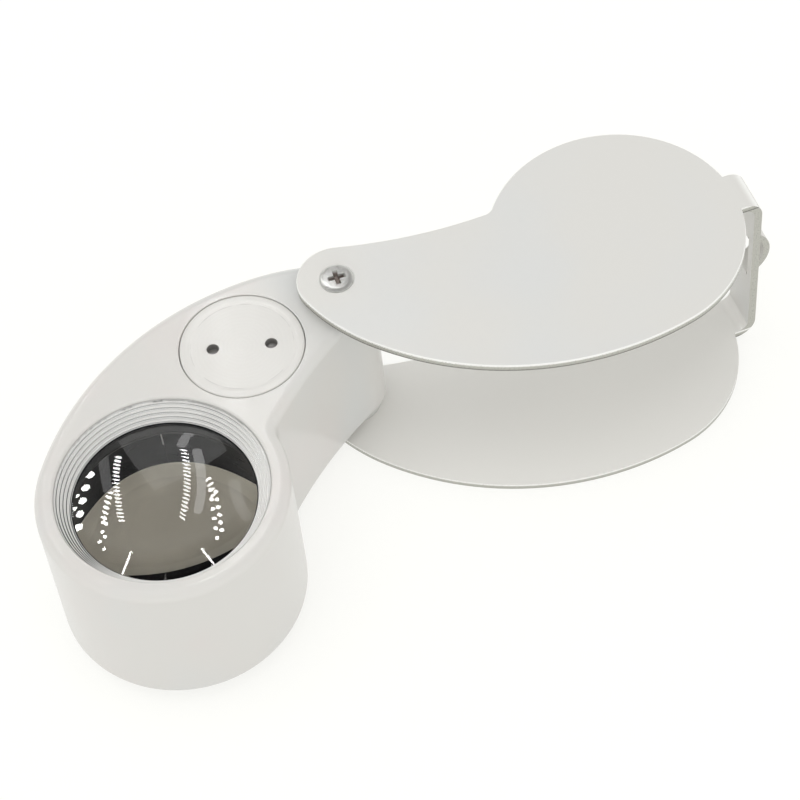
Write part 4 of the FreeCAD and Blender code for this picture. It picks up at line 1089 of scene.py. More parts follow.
class Recipes:
    """The Geometry Nodes trees that the sub-assemblies share."""

    def __init__(self) -> None:
        """Builds each tree once."""
        self.coil = self._coil()
        self.ribs = self._ribs()
        self.row = self._row()
        self.terraces = self._terraces()
        self.string = self._string()

    @staticmethod
    def _coil() -> Recipe:
        """A round section swept along a helix, for screw threads and the battery spring."""
        inputs = {"Turns": 4.0, "Start Radius": MM, "End Radius": MM, "Height": MM, "Place": ORIGIN}
        section = {"Section Radius": 0.1 * MM, "Section Corners": 8, "Points per Turn": 48}
        recipe = Recipe("coil", {**inputs, **section})
        radii = recipe.ask("Start Radius", "End Radius", "Height")
        counts = recipe.ask(Resolution="Points per Turn", Rotations="Turns")
        path = recipe.node("GeometryNodeCurveSpiral", {**counts, **radii})
        upright = recipe.node("GeometryNodeSetCurveNormal", {"Curve": path}, mode="Z_UP")
        round_wire = recipe.node(
            "GeometryNodeCurvePrimitiveCircle",
            recipe.ask(Resolution="Section Corners", Radius="Section Radius"),
        )
        inputs = {"Curve": upright, "Profile Curve": round_wire, "Fill Caps": True}
        return recipe.close(recipe.node("GeometryNodeCurveToMesh", inputs))

    @staticmethod
    def _ribs() -> Recipe:
        """Small blocks set round an upright axis, for a knurl and for key notches."""
        inputs = {"Count": 24, "Reach": MM, "Size": (MM, MM, MM), "Place": ORIGIN}
        recipe = Recipe("ribs", inputs)
        circle = recipe.node("GeometryNodeMeshCircle", recipe.ask(Vertices="Count", Radius="Reach"))
        block = recipe.node("GeometryNodeMeshCube", recipe.ask("Size"))
        outward = recipe.node(
            "FunctionNodeAlignRotationToVector",
            {"Vector": recipe.node("GeometryNodeInputPosition")},
            axis="X",
            pivot_axis="Z",
        )
        inputs = {"Points": circle, "Instance": block, "Rotation": outward}
        return recipe.close(recipe.node("GeometryNodeInstanceOnPoints", inputs))

    @staticmethod
    def _row() -> Recipe:
        """Beads in a straight row, for the knob's grip."""
        places = {"Start": ORIGIN, "Step": (MM, 0.0, 0.0)}
        recipe = Recipe("row", {"Count": 3, **places, "Bead": (MM, MM, MM), "Turn": ORIGIN})
        line = recipe.node(
            "GeometryNodeMeshLine",
            recipe.ask("Count", **{"Start Location": "Start", "Offset": "Step"}),
        )
        bead = recipe.node("GeometryNodeMeshIcoSphere", {"Radius": 1.0, "Subdivisions": 3})
        sized = recipe.ask(Rotation="Turn", Scale="Bead")
        inputs = {"Points": line, "Instance": bead, **sized}
        return recipe.close(recipe.node("GeometryNodeInstanceOnPoints", inputs))

    @staticmethod
    def _terraces() -> Recipe:
        """Rings that step out and up from the lens, each with a fine groove in its tread."""
        counts = {"Steps": 5, "Corners": 192}
        lengths = {"Inner Reach": MM, "Inner Height": MM, "Tread": 0.3 * MM, "Riser": 0.4 * MM}
        recipe = Recipe(
            "terraces", {**counts, **lengths, "Groove Depth": 0.1 * MM, "Place": ORIGIN}
        )
        node, ask = recipe.node, recipe.given.other
        sides = {"Size X": 1.0, "Size Y": 1.0}
        rows = {"Vertices X": ask("Corners") + 1.0, "Vertices Y": ask("Steps") * 10.0 + 1.0}
        sheet = node("GeometryNodeMeshGrid", {**sides, **rows})
        spot = node("ShaderNodeSeparateXYZ", {0: node("GeometryNodeInputPosition")})
        angle = (spot + 0.5) * math.tau
        climb = (spot.other("Y") + 0.5) * ask("Steps") + 0.0001
        share = climb.fraction()
        whole = climb - share
        tread = (share / 0.7).least(1.0)
        riser = ((share - 0.7) / 0.3).most(0.0)
        groove = (share > 0.15) * (share < 0.35)
        reach = ask("Inner Reach") + (whole + tread) * ask("Tread")
        height = ask("Inner Height") + (whole + riser) * ask("Riser")
        height = height - groove * ask("Groove Depth")
        quarter = angle + math.pi / 2
        parts = {0: quarter.sine() * reach, 1: angle.sine() * reach, 2: height}
        placed = {"Geometry": sheet, "Position": node("ShaderNodeCombineXYZ", parts)}
        moved = node("GeometryNodeSetPosition", placed)
        closed = node("GeometryNodeMergeByDistance", {"Geometry": moved, "Distance": 1e-6})
        return recipe.close(closed)

    @staticmethod
    def _string() -> Recipe:
        """Small lamps along a bowed line, for the studio's strip lights."""
        bends = dict.fromkeys(("Start", "Middle", "End", "Slant"), ORIGIN)
        recipe = Recipe("string", {**bends, "Count": 10, "Bead": (MM, MM, MM)})
        node = recipe.node
        bow = {**recipe.ask("Start", "Middle", "End"), "Resolution": 32}
        bow = node("GeometryNodeCurveQuadraticBezier", bow)
        bow = node("GeometryNodeSetCurveNormal", {"Curve": bow}, mode="Z_UP")
        inputs = {"Curve": bow, **recipe.ask("Count")}
        points = node("GeometryNodeCurveToPoints", inputs, mode="COUNT")
        bead = node("GeometryNodeMeshIcoSphere", {"Radius": 1.0, "Subdivisions": 4})
        turned = {"Rotation": points.other("Rotation"), **recipe.ask(Scale="Bead")}
        hung = node("GeometryNodeInstanceOnPoints", {"Points": points, "Instance": bead, **turned})
        inputs = {"Instances": hung, **recipe.ask(Rotation="Slant"), "Local Space": True}
        return recipe.close(node("GeometryNodeRotateInstances", inputs))


def add_piece(
    name: str, mesh: Mesh, finish: Finish, slot: str, *stands_for: str, body: str = "loupe_body"
) -> None:
    """Adds one finished piece to the scene.

    Args:
        name: the piece's name.
        mesh: its mesh, in place.
        finish: its finish.
        slot: the material slot of the record that it belongs to; not used.
        stands_for: the CAD nodes that it replaces.
        body: the body that it moves with.
    """
    finish.cover(mesh)
    mesh.name = name
    piece = put(name, mesh)
    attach(piece, body)
    if stands_for:
        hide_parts(*stands_for)
    triangles = sum(len(face.vertices) - 2 for face in mesh.polygons)
    log.info("%s: %d triangles, rides on %s", name, triangles, body)


def dress(finish: Finish, *nodes: str) -> None:
    """Gives CAD nodes their finish.

    Args:
        finish: the finish.
        nodes: their names.
    """
    for node in nodes:
        finish.cover(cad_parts[node].data)
        log.info("%s: carried over, %s", node, type(finish).__name__)


def middle_of(node: str) -> Point3:
    """The middle of a CAD node's box, in millimetres."""
    low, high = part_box(node)
    return tuple((low[axis] + high[axis]) / (2 * MM) for axis in range(3))


def height_of(node: str) -> tuple[float, float]:
    """The lowest and highest height of a CAD node, in millimetres."""
    low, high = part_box(node)
    return (low.z / MM, high.z / MM)


def reach_of(node: str) -> float:
    """Half of the width of a CAD node, in millimetres."""
    low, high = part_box(node)
    return (high.x - low.x) / (2 * MM)


def halves_of(node: str) -> list[Point2]:
    """The middles of the two solids of a CAD node, which stand apart along x.

    Args:
        node: the node's name.

    Returns:
        The middle of each, seen from above, in millimetres.
    """
    middle = middle_of(node)[0]
    spots = [vertex.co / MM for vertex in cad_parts[node].data.vertices]
    middles = []
    for group in ([s for s in spots if s.x < middle], [s for s in spots if s.x > middle]):
        across = [spot.x for spot in group]
        along = [spot.y for spot in group]
        middles.append(((min(across) + max(across)) / 2, (min(along) + max(along)) / 2))
    return middles


# Sub-assemblies


@dataclass
class SubAssembly:
    """What all sub-assemblies share."""

    recipes: Recipes

    def stand_on(self, node: str) -> None:
        """Takes the middle of a node, seen from above, as the centre."""
        self.centre: Point2 = middle_of(node)[:2]


class Facing(Enum):
    """Which way a screw's head looks."""

    UP = 1
    DOWN = -1


@dataclass(frozen=True)
class StudioString:
    """A bowed strip light, hung on a dome round the barrel. Bearing and lift are in degrees."""

    start: Point2
    middle: Point2
    end: Point2
    count: int
    bead: Point3
    strength: float
    slant: float = 0.0


@dataclass
class Studio(SubAssembly):
    """Floor, lamps, surroundings and camera."""

    target: Point3 = (-27.742, -0.456, 0.0)
    distance: float = 342.6
    lift_deg: float = 54.84
    swing_deg: float = 3.535
    roll_deg: float = -6.57
    lens: float = 122.69
    floor_reach: float = 4.0
    floor_drop: float = 0.02
    zenith: float = 0.66
    mirror_zenith: float = 0.06
    horizon: float = 1.02
    top_power: float = 3.2
    front_power: float = 1.35
    dome: float = 100.0
    dome_centre: Point3 = (-57.188, -23.688, 22.0)
    strings: tuple[StudioString, ...] = (
        StudioString((106.6, 35.8), (112.6, 45.1), (121.7, 57.4), 18, (2.0, 2.0, 0.5), 22.0, 30.0),
        StudioString((85.3, 39.6), (83.5, 52.1), (86.6, 65.5), 19, (2.1, 2.1, 0.52), 22.0, 30.0),
        StudioString((116.4, 46.1), (120.7, 49.2), (126.5, 52.4), 6, (2.1, 2.1, 0.55), 26.0, 35.0),
        StudioString((128.3, 53.3), (133.4, 55.6), (138.5, 56.8), 3, (1.1, 1.1, 1.1), 28.0),
        StudioString((128.4, 54.5), (134.7, 57.3), (141.3, 59.5), 3, (1.1, 1.1, 1.1), 28.0),
        StudioString((74.1, 50.7), (72.0, 53.2), (69.4, 56.4), 4, (2.0, 2.0, 0.6), 26.0, -30.0),
        StudioString((71.7, 54.7), (66.7, 61.8), (53.4, 70.7), 6, (1.2, 1.2, 1.2), 26.0),
        StudioString((68.9, 55.1), (62.6, 61.9), (54.1, 67.5), 6, (1.2, 1.2, 1.2), 26.0),
        StudioString((117.3, 36.3), (125.5, 41.9), (136.0, 47.7), 5, (2.1, 2.1, 2.1), 26.0),
        StudioString((125.5, 39.5), (127.7, 40.8), (130.0, 42.2), 2, (1.2, 1.2, 1.2), 24.0),
        StudioString((135.7, 67.9), (145.2, 68.7), (155.5, 68.8), 8, (0.8, 0.8, 1.0), 24.0),
        StudioString((61.6, 76.3), (49.1, 77.9), (32.5, 78.5), 8, (0.8, 0.8, 0.9), 24.0),
        StudioString((80.4, 40.7), (76.9, 52.1), (75.9, 62.3), 16, (2.4, 2.4, 3.0), 3.2),
        StudioString((111.0, 34.0), (113.5, 39.6), (116.1, 44.8), 8, (2.6, 2.6, 2.6), 1.6),
        StudioString((62.1, 50.5), (56.4, 55.5), (47.0, 59.1), 7, (3.2, 3.2, 3.2), 1.4),
        StudioString((85.8, 37.1), (84.3, 34.0), (81.7, 31.2), 6, (2.4, 2.4, 2.4), 3.0),
    )

    def build(self) -> None:
        """Sets up the whole studio."""
        bpy.context.scene.view_settings.view_transform = "Standard"
        self._camera()
        self._floor()
        self._sky()
        self._lamp("top_softbox", (-0.25, -0.1, 1.1), 0.9, self.top_power)
        self._lamp("front_softbox", (0.25, -1.0, 0.45), 0.8, self.front_power)
        for number, string in enumerate(self.strings):
            self._hang(f"strip_light_{number}", string)

    def _camera(self) -> None:
        """A long lens, rolled a little as the photograph is."""
        lift, swing, roll = map(math.radians, (self.lift_deg, self.swing_deg, self.roll_deg))
        right = Vector((math.cos(swing), -math.sin(swing), 0.0))
        level = Vector((math.sin(swing), math.cos(swing), 0.0))
        back = level * -math.cos(lift) + Vector((0.0, 0.0, math.sin(lift)))
        up = level * math.sin(lift) + Vector((0.0, 0.0, math.cos(lift)))
        side = right * math.cos(roll) + up * math.sin(roll)
        top = up * math.cos(roll) - right * math.sin(roll)
        place = (Vector(self.target) + back * self.distance) * MM
        data = bpy.data.cameras.new("camera")
        data.lens = self.lens
        data.sensor_width = 36.0
        data.clip_start = 0.01
        camera = put("camera", data)
        turned = Matrix((side, top, back)).transposed().to_4x4()
        camera.matrix_world = Matrix.Translation(place) @ turned
        bpy.context.scene.camera = camera

    def _floor(self) -> None:
        """A round floor that reaches past every view, a hair below the object's underside."""
        cast = bmesh.new()
        bmesh.ops.create_circle(cast, cap_ends=True, radius=self.floor_reach, segments=96)
        bmesh.ops.translate(cast, vec=(0.0, 0.0, -self.floor_drop * MM), verts=cast.verts)
        mesh = Shape.plain(cast)
        GlowFloor().cover(mesh)
        put("floor", mesh)

    def _sky(self) -> None:
        """A surround, bright low down and dim overhead, and white to eyes and through glass."""
        world = bpy.data.worlds.new("surround")
        bpy.context.scene.world = world
        world.use_nodes = True
        world.node_tree.nodes.clear()
        bench = Bench(world.node_tree)
        source = bench.node("ShaderNodeTexCoord", output="Generated")
        rise = bench.node("ShaderNodeSeparateXYZ", {0: source}, "Z").most(0.0)
        lit = self.horizon + rise * (self.zenith - self.horizon)
        dim = (1.0 - rise) ** 2.0 * self.horizon + self.mirror_zenith
        path = bench.node("ShaderNodeLightPath")
        through = path.other("Is Transmission Ray") * (path.other("Glossy Depth") < 0.5)
        seen = path.other("Is Camera Ray").most(through)
        graded = lit + path.other("Is Glossy Ray") * (dim - lit)
        strength = graded + seen * (1.0 - graded)
        inputs = {"Color": shade(1.0, 0.995, 0.975), "Strength": strength}
        light = bench.node("ShaderNodeBackground", inputs)
        bench.node("ShaderNodeOutputWorld", {"Surface": light})

    def _lamp(self, name: str, place: Point3, size: float, power: float) -> None:
        """One softbox that looks at the object.

        Args:
            name: its name.
            place: where it hangs, in metres.
            size: its side in metres.
            power: its power in watts.
        """
        data = bpy.data.lights.new(name, "AREA")
        data.shape = "SQUARE"
        data.size = size
        data.energy = power
        lamp = put(name, data)
        aim = (Vector(place) - Vector(self.target) * MM).to_track_quat("Z", "Y")
        lamp.matrix_world = Matrix.Translation(place) @ aim.to_matrix().to_4x4()
        lamp.visible_glossy = False

    def _hang(self, name: str, string: StudioString) -> None:
        """One strip light on the dome, bowed so that it passes through its middle.

        Args:
            name: its name.
            string: its place, lamps and strength.
        """
        finish = StudioStrip(string.strength)
        start, middle, end = map(self._on_dome, (string.start, string.middle, string.end))
        bend = middle * 2.0 - (start + end) * 0.5
        sizes = {"Start": start, "Middle": bend, "End": end, "Bead": string.bead}
        plain = {"Count": string.count, "Slant": (0.0, math.radians(string.slant), 0.0)}
        mesh = self.recipes.string.run(finish, sizes, plain)
        finish.cover(mesh)
        put(name, mesh)

    def _on_dome(self, spot: Point2) -> Vector:
        """The place on the dome at a bearing and lift, in millimetres."""
        bearing, lift = map(math.radians, spot)
        level = math.cos(lift)
        way = Vector((math.cos(bearing) * level, math.sin(bearing) * level, math.sin(lift)))
        return Vector(self.dome_centre) + way * self.dome


@dataclass
class Cover(SubAssembly):
    """The bent sheet cover with its strap loop."""

    enamel: Finish = SatinPlate()

    def build(self) -> None:
        """Dresses the sheet."""
        dress(self.enamel, "cover")


@dataclass(frozen=True)
class ScrewHead:
    """Where a pivot screw sits and the form of its head."""

    side: str
    facing: Facing
    reach: float
    rim_drop: float
    cone: float


@dataclass
class PivotSet(SubAssembly):
    """Two cross-recessed screws, a threaded bush and two washers."""

    heads: tuple[ScrewHead, ...] = (
        ScrewHead("top", Facing.UP, 2.03, 0.3, 0.95),
        ScrewHead("bottom", Facing.DOWN, 1.94, 0.05, 0.72),
    )
    shank_reach: float = 1.25
    thread_pitch: float = 0.5
    thread_deep: float = 0.16
    thread_wire: float = 0.14
    plain_shank: float = 3.2
    recess_long: float = 1.12
    recess_wide: float = 0.33
    recess_deep: float = 0.75
    turn_deg: float = 8.0
    bush_reach: float = 2.1
    knurl: Point2 = (0.18, 0.16)
    brass: Finish = PlainMetal(shade(0.75, 0.52, 0.22), shade(0.50, 0.32, 0.12), 0.28, 1.2)
    # Painted shade: the washers' white nylon is given a mid grey, darker than its own colour, for
    # the dark gap between the parts.
    nylon_painted_shade: Finish = Moulded(shade(0.58, 0.58, 0.56), 0.45, 0.2, 0.01)

    def build(self) -> None:
        """Builds both screws and the bush, and dresses the washers."""
        self.stand_on("pivot_screw_top")
        for head in self.heads:
            self._screw(head)
        self._bush()
        dress(self.nylon_painted_shade, "friction_washer_top", "friction_washer_bottom")

    def _screw(self, form: ScrewHead) -> None:
        """One countersunk screw with a tapered cross recess and a rolled thread.

        Args:
            form: its side and its head's form.
        """
        up = form.facing.value
        node = f"pivot_screw_{form.side}"
        tip, head = height_of(node)[::up]
        rim = head - form.rim_drop * up
        core = self.shank_reach - self.thread_deep
        steel = ScrewSteel(self.centre, head, up)
        corners = [
            (0.0, head),
            (form.reach * 0.84, head - 0.04 * up, 0.25),
            (form.reach, rim, 0.14),
            (form.reach, rim - 0.12 * up, 0.06),
            (self.shank_reach, rim - form.cone * up, 0.2),
            (core, rim - 1.5 * up, 0.2),
            (core, tip + 0.35 * up, 0.1),
            (core - 0.35, tip),
            (0.0, tip),
        ]
        face, floor = head + 0.3 * up, head - self.recess_deep * up
        recess = Shape.cross(self.recess_long, self.recess_wide, face, floor)
        cut = Shape.carve(Shape.turned(corners, segments=96), recess)
        turns = (abs(head - tip) - self.plain_shank) / self.thread_pitch
        run = turns * self.thread_pitch
        base = tip + 0.3 if up > 0 else tip - 0.3 - run
        reach = core + 0.01
        thread = self.recipes.coil.run(
            steel,
            {
                "Start Radius": reach,
                "End Radius": reach,
                "Height": run,
                "Section Radius": self.thread_wire,
                "Place": (0.0, 0.0, base),
            },
            {"Turns": turns, "Section Corners": 6, "Points per Turn": 40},
        )
        whole = Shape.set_down(Shape.merged([cut, thread]), self.centre, self.turn_deg)
        add_piece(f"cross_screw_{form.side}", whole, steel, "screw_metal", node)

    def _bush(self) -> None:
        """A brass bush with a knurled band at mid height."""
        low, high = height_of("pivot_bush")
        reach, bore = self.bush_reach, self.shank_reach
        corners = [(bore, low, 0.15), (reach, low, 0.2), (reach, high, 0.2), (bore, high, 0.15)]
        tube = Shape.turned(corners, self.centre, 96, True)
        size = (*self.knurl, (high - low) * 0.5)
        sizes = {"Reach": reach, "Size": size, "Place": (*self.centre, (low + high) / 2)}
        ribs = self.recipes.ribs.run(self.brass, sizes, {"Count": 40})
        whole = Shape.merged([tube, ribs])
        add_piece("knurled_bush", whole, self.brass, "bush_brass", "pivot_bush")


@dataclass
class LoupeHousing(SubAssembly):
    """The moulded barrel and neck, and the closing plate below with its two screws."""

    head_reach: float = 1.2
    head_deep: float = 0.6
    shank_reach: float = 0.66
    paint: Finish = PearlPaint()
    steel: Finish = PlainMetal(shade(0.55, 0.54, 0.52), shade(0.36, 0.35, 0.33), 0.28, 0.6)

    def build(self) -> None:
        """Dresses the housing and its base plate, and builds the small screws."""
        dress(self.paint, "loupe_housing", "neck_base_plate")
        self._small_screws()

    def _small_screws(self) -> None:
        """Two pan-head screws with cross recesses, each where its CAD solid is."""
        low, high = height_of("base_plate_screws")
        shoulder = low + self.head_deep
        corners = [
            (0.0, low),
            (self.head_reach * 0.8, low + 0.03, 0.3),
            (self.head_reach, low + 0.25, 0.15),
            (self.head_reach, shoulder, 0.05),
            (self.shank_reach, shoulder, 0.1),
            (self.shank_reach, high - 0.6, 0.2),
            (0.1, high),
            (0.0, high),
        ]
        meshes = []
        for spot in halves_of("base_plate_screws"):
            recess = Shape.cross(0.75, 0.17, low - 0.2, low + 0.4)
            cut = Shape.carve(Shape.turned(corners, segments=64), recess)
            meshes.append(Shape.set_down(cut, spot))
        whole = Shape.merged(meshes)
        add_piece("base_screws", whole, self.steel, "screw_metal", "base_plate_screws")


@dataclass
class LensCell(SubAssembly):
    """The stepped eyepiece, two lenses, their spacer and retainer."""

    steps: int = 5
    seat: float = 21.0
    lip: float = 0.22
    riser: float = 0.46
    clear_reach: float = 10.77
    outer_reach: float = 12.40
    rim_reach: float = 11.3
    play: float = 0.02
    curve: float = 53.27
    edge: float = 1.2
    bulge: float = 1.1
    groove: float = 0.13
    corners: int = 192
    glass: Finish = ClearGlass(shade(0.97, 0.975, 0.96))
    coated: Finish = ClearGlass(shade(0.97, 0.975, 0.96), glare=0.1)
    black: Finish = Moulded(shade(0.006, 0.006, 0.007), 0.5, 0.1, 0.01)

    def build(self) -> None:
        """Builds the eyepiece, the lenses and what holds them."""
        self.stand_on("eyepiece_ring")
        self._eyepiece()
        self._rim()
        self._lens("upper_lens", "eye_lens", self.glass)
        self._lens("lower_lens", "field_lens", self.coated)
        self._spacer()
        self._retainer()

    def _eyepiece(self) -> None:
        """Five grooved steps over a plain cell, sewn into one skin."""
        low, _ = height_of("eyepiece_ring")
        tread = (self.outer_reach - self.clear_reach) / self.steps
        start = self.seat + self.lip
        top = start + self.riser * self.steps
        paint = TerracedPaint(self.centre, self.clear_reach, tread)
        sizes = {
            "Inner Reach": self.clear_reach,
            "Inner Height": start,
            "Tread": tread,
            "Riser": self.riser,
            "Groove Depth": self.groove,
            "Place": (*self.centre, 0.0),
        }
        plain = {"Steps": self.steps, "Corners": self.corners}
        stairs = self.recipes.terraces.run(paint, sizes, plain)
        outside = [
            (self.outer_reach, top),
            (self.outer_reach, low, 0.25),
            (self.rim_reach, low, 0.25),
            (self.rim_reach, self.seat),
        ]
        inside = [(self.clear_reach, self.seat), (self.clear_reach, start)]
        profile = [outside[0], *Shape.eased(outside, False)[1:], *inside]
        cell = Shape.lathe(profile, self.centre, self.corners, False, 30.0)
        whole = Shape.merged([stairs, cell], True)
        add_piece("eyepiece_steps", whole, paint, "eyepiece_metal", "eyepiece_ring")

    def _rim(self) -> None:
        """A thin black lacquered ring where the glass meets its seat."""
        inner, outer = self.clear_reach - 0.16, self.clear_reach - 0.005
        corners = [
            (inner, self.seat + 0.01, 0.03),
            (outer, self.seat + 0.01, 0.03),
            (outer, self.seat + 0.12, 0.03),
            (inner, self.seat + 0.05, 0.03),
        ]
        mesh = Shape.turned(corners, self.centre, self.corners, True, 40.0, 2)
        add_piece("lens_edge_ring", mesh, self.black, "black_plastic")

    def _lens(self, name: str, node: str, glass: Finish) -> None:
        """One biconvex lens with a ground edge.

        Args:
            name: the piece's name.
            node: the CAD node that it replaces.
            glass: its finish.
        """
        base = height_of(node)[0] + self.bulge
        top = base + self.edge
        profile = [
            *reversed(Shape.arc(self.curve, self.clear_reach, base, -1)),
            (self.rim_reach - 0.1, base),
            (self.rim_reach, base + 0.1),
            (self.rim_reach, top - 0.1),
            (self.rim_reach - 0.1, top),
            *Shape.arc(self.curve, self.clear_reach, top, 1),
        ]
        mesh = Shape.lathe(profile, self.centre, 320, False, 12.0)
        add_piece(name, mesh, glass, "lens_glass", node)

    def _spacer(self) -> None:
        """A ring between the lenses with fine ridges on its inner side, against stray light."""
        low, high = height_of("lens_spacer")
        inner, outer = self.clear_reach - self.play, self.rim_reach - self.play
        ridges = int((high - low) / 0.4)
        profile = [(outer, low + 0.05), (outer, high - 0.05), (outer - 0.05, high)]
        pitch = (high - low) / ridges
        for number in range(ridges):
            top = high - number * pitch
            profile += [(inner, top - 0.02), (inner + 0.16, top - pitch * 0.5)]
        profile += [(inner, low + 0.02), (inner + 0.05, low), (outer - 0.05, low)]
        mesh = Shape.lathe(profile, self.centre, 160, True, 20.0)
        add_piece("ridged_spacer", mesh, self.black, "black_plastic", "lens_spacer")

    def _retainer(self) -> None:
        """The ring that holds the lenses from below, with four key notches."""
        low, high = height_of("lens_retainer")
        inner, outer = self.clear_reach - self.play, self.rim_reach - self.play
        corners = [(inner, low, 0.12), (outer, low, 0.1), (outer, high, 0.1), (inner, high, 0.12)]
        ring = Shape.turned(corners, self.centre, 160, True)
        notch = {"Size": (1.4, 0.9, 0.7), "Place": (*self.centre, low)}
        sizes = {"Reach": (inner + outer) / 2, **notch}
        notches = self.recipes.ribs.run(self.black, sizes, {"Count": 4})
        cut = Shape.carve(ring, notches)
        add_piece("notched_retainer", cut, self.black, "black_plastic", "lens_retainer")


@dataclass
class LampRing(SubAssembly):
    """The black light tube, the lamp ring below it and its two lamps."""

    low_reach: float = 8.0
    high_reach: float = 10.77
    outer_reach: float = 11.98
    seam_deg: float = 89.0
    seam_wide: float = 0.08
    seam_from: float = 13.0
    liner_top: float = 10.05
    liner_wall: float = 0.1
    liner_lift: float = 1.3
    body_reach: float = 1.47
    flange_reach: float = 1.78
    flange_deep: float = 0.8
    pale: Finish = Moulded(shade(0.745, 0.69, 0.62), 0.5, 0.3, 0.01)
    black: Finish = Moulded(shade(0.012, 0.012, 0.013), 0.35, 0.15, 0.01)
    red: Finish = WireSleeve(shade(0.5, 0.02, 0.015))
    resin: Finish = ClearGlass(shade(0.96, 0.97, 0.98), 1.5, 0.02)
    violet: Finish = ClearGlass(shade(0.72, 0.62, 0.95), 1.5, 0.02)
    tinned: Finish = PlainMetal(shade(0.72, 0.71, 0.69), shade(0.50, 0.49, 0.46), 0.25, 0.4)

    def build(self) -> None:
        """Builds the tube and the lamps, and dresses the ring and the wires."""
        self.stand_on("light_tube")
        self._tube()
        self._liner()
        dress(self.black, "led_ring")
        self._lamp("white_lamp", "white_led", self.resin, "lamp_clear")
        self._lamp("violet_lamp", "ultraviolet_led", self.violet, "lamp_violet")
        dress(self.red, "led_wires")

    def _tube(self) -> None:
        """A smooth cone with one fine mould seam inside."""
        gloss = TubeLacquer(self.centre, self.seam_deg, self.seam_from)
        low, high = height_of("light_tube")
        corners = [
            (self.low_reach, low),
            (self.outer_reach, low, 0.1),
            (self.outer_reach, high, 0.1),
            (self.high_reach, high, 0.05),
        ]
        cone = Shape.turned(corners, self.centre, 160, True)
        tilt = math.atan2(self.high_reach - self.low_reach, high - low)
        reach = (self.low_reach + self.high_reach) / 2 - 0.01
        seam = Shape.box((self.seam_wide, self.seam_wide, (high - low) * 0.94), 0.03)
        turn = math.radians(self.seam_deg)
        x, y = self.centre
        spot = (x + reach * math.cos(turn), y + reach * math.sin(turn), (low + high) / 2)
        lean = Matrix.Rotation(turn, 4, "Z") @ Matrix.Rotation(tilt, 4, "Y")
        seam.transform(Matrix.Translation(in_metres(spot)) @ lean)
        add_piece("seamed_tube", Shape.merged([cone, seam]), gloss, "tube_black", "light_tube")

    def _liner(self) -> None:
        """A thin pale sleeve in the ring and the tube's foot, which spreads the lamps' light."""
        low, high = height_of("light_tube")
        foot = height_of("led_ring")[0] + self.liner_lift
        slope = (self.high_reach - self.low_reach) / (high - low)
        inner = self.low_reach - 0.02 - self.liner_wall
        outer = inner + self.liner_wall
        flare = slope * (self.liner_top - low)
        corners = [
            (inner, foot, 0.03),
            (outer, foot, 0.03),
            (outer, low, 0.1),
            (outer + flare, self.liner_top, 0.03),
            (inner + flare, self.liner_top, 0.03),
            (inner, low, 0.1),
        ]
        mesh = Shape.turned(corners, self.centre, 160, True, steps=3)
        add_piece("pale_liner", mesh, self.pale, "sleeve_white")

    def _lamp(self, name: str, node: str, resin: Finish, slot: str) -> None:
        """One domed lamp that looks down, and the tinned frame inside it.

        Args:
            name: the piece's name.
            node: the CAD node that it replaces.
            resin: its finish.
            slot: its material slot.
        """
        x, y, _ = middle_of(node)
        low, high = height_of(node)
        flange, rim, body = high - self.flange_deep, self.flange_reach, self.body_reach
        profile = [(0.0, high), (rim - 0.06, high), (rim, high - 0.06), (rim, flange + 0.06)]
        profile += [(rim - 0.06, flange), (body, flange), (body, low + body)]
        for step in range(1, 17):
            angle = math.pi / 2 * step / 16
            profile.append((body * math.cos(angle), low + body * (1.0 - math.sin(angle))))
        add_piece(name, Shape.lathe(profile, (x, y), 64, False), resin, slot, node)
        long = high - low - 1.6
        middle = high - long / 2 - 0.05
        parts = [
            Shape.box((0.3, wide, long), 0.05, (x + side * 0.5, y, middle))
            for side, wide in ((-1, 0.55), (1, 0.3))
        ]
        cup = [(0.0, 1.35), (0.12, 1.35), (0.42, 1.15), (0.46, 1.2), (0.2, 1.62), (0.0, 1.62)]
        cup = [(reach, low + lift) for reach, lift in cup]
        parts.append(Shape.lathe(cup, (x - 0.35, y), 32, False))
        add_piece(f"{name}_frame", Shape.merged(parts), self.tinned, "spring_steel")


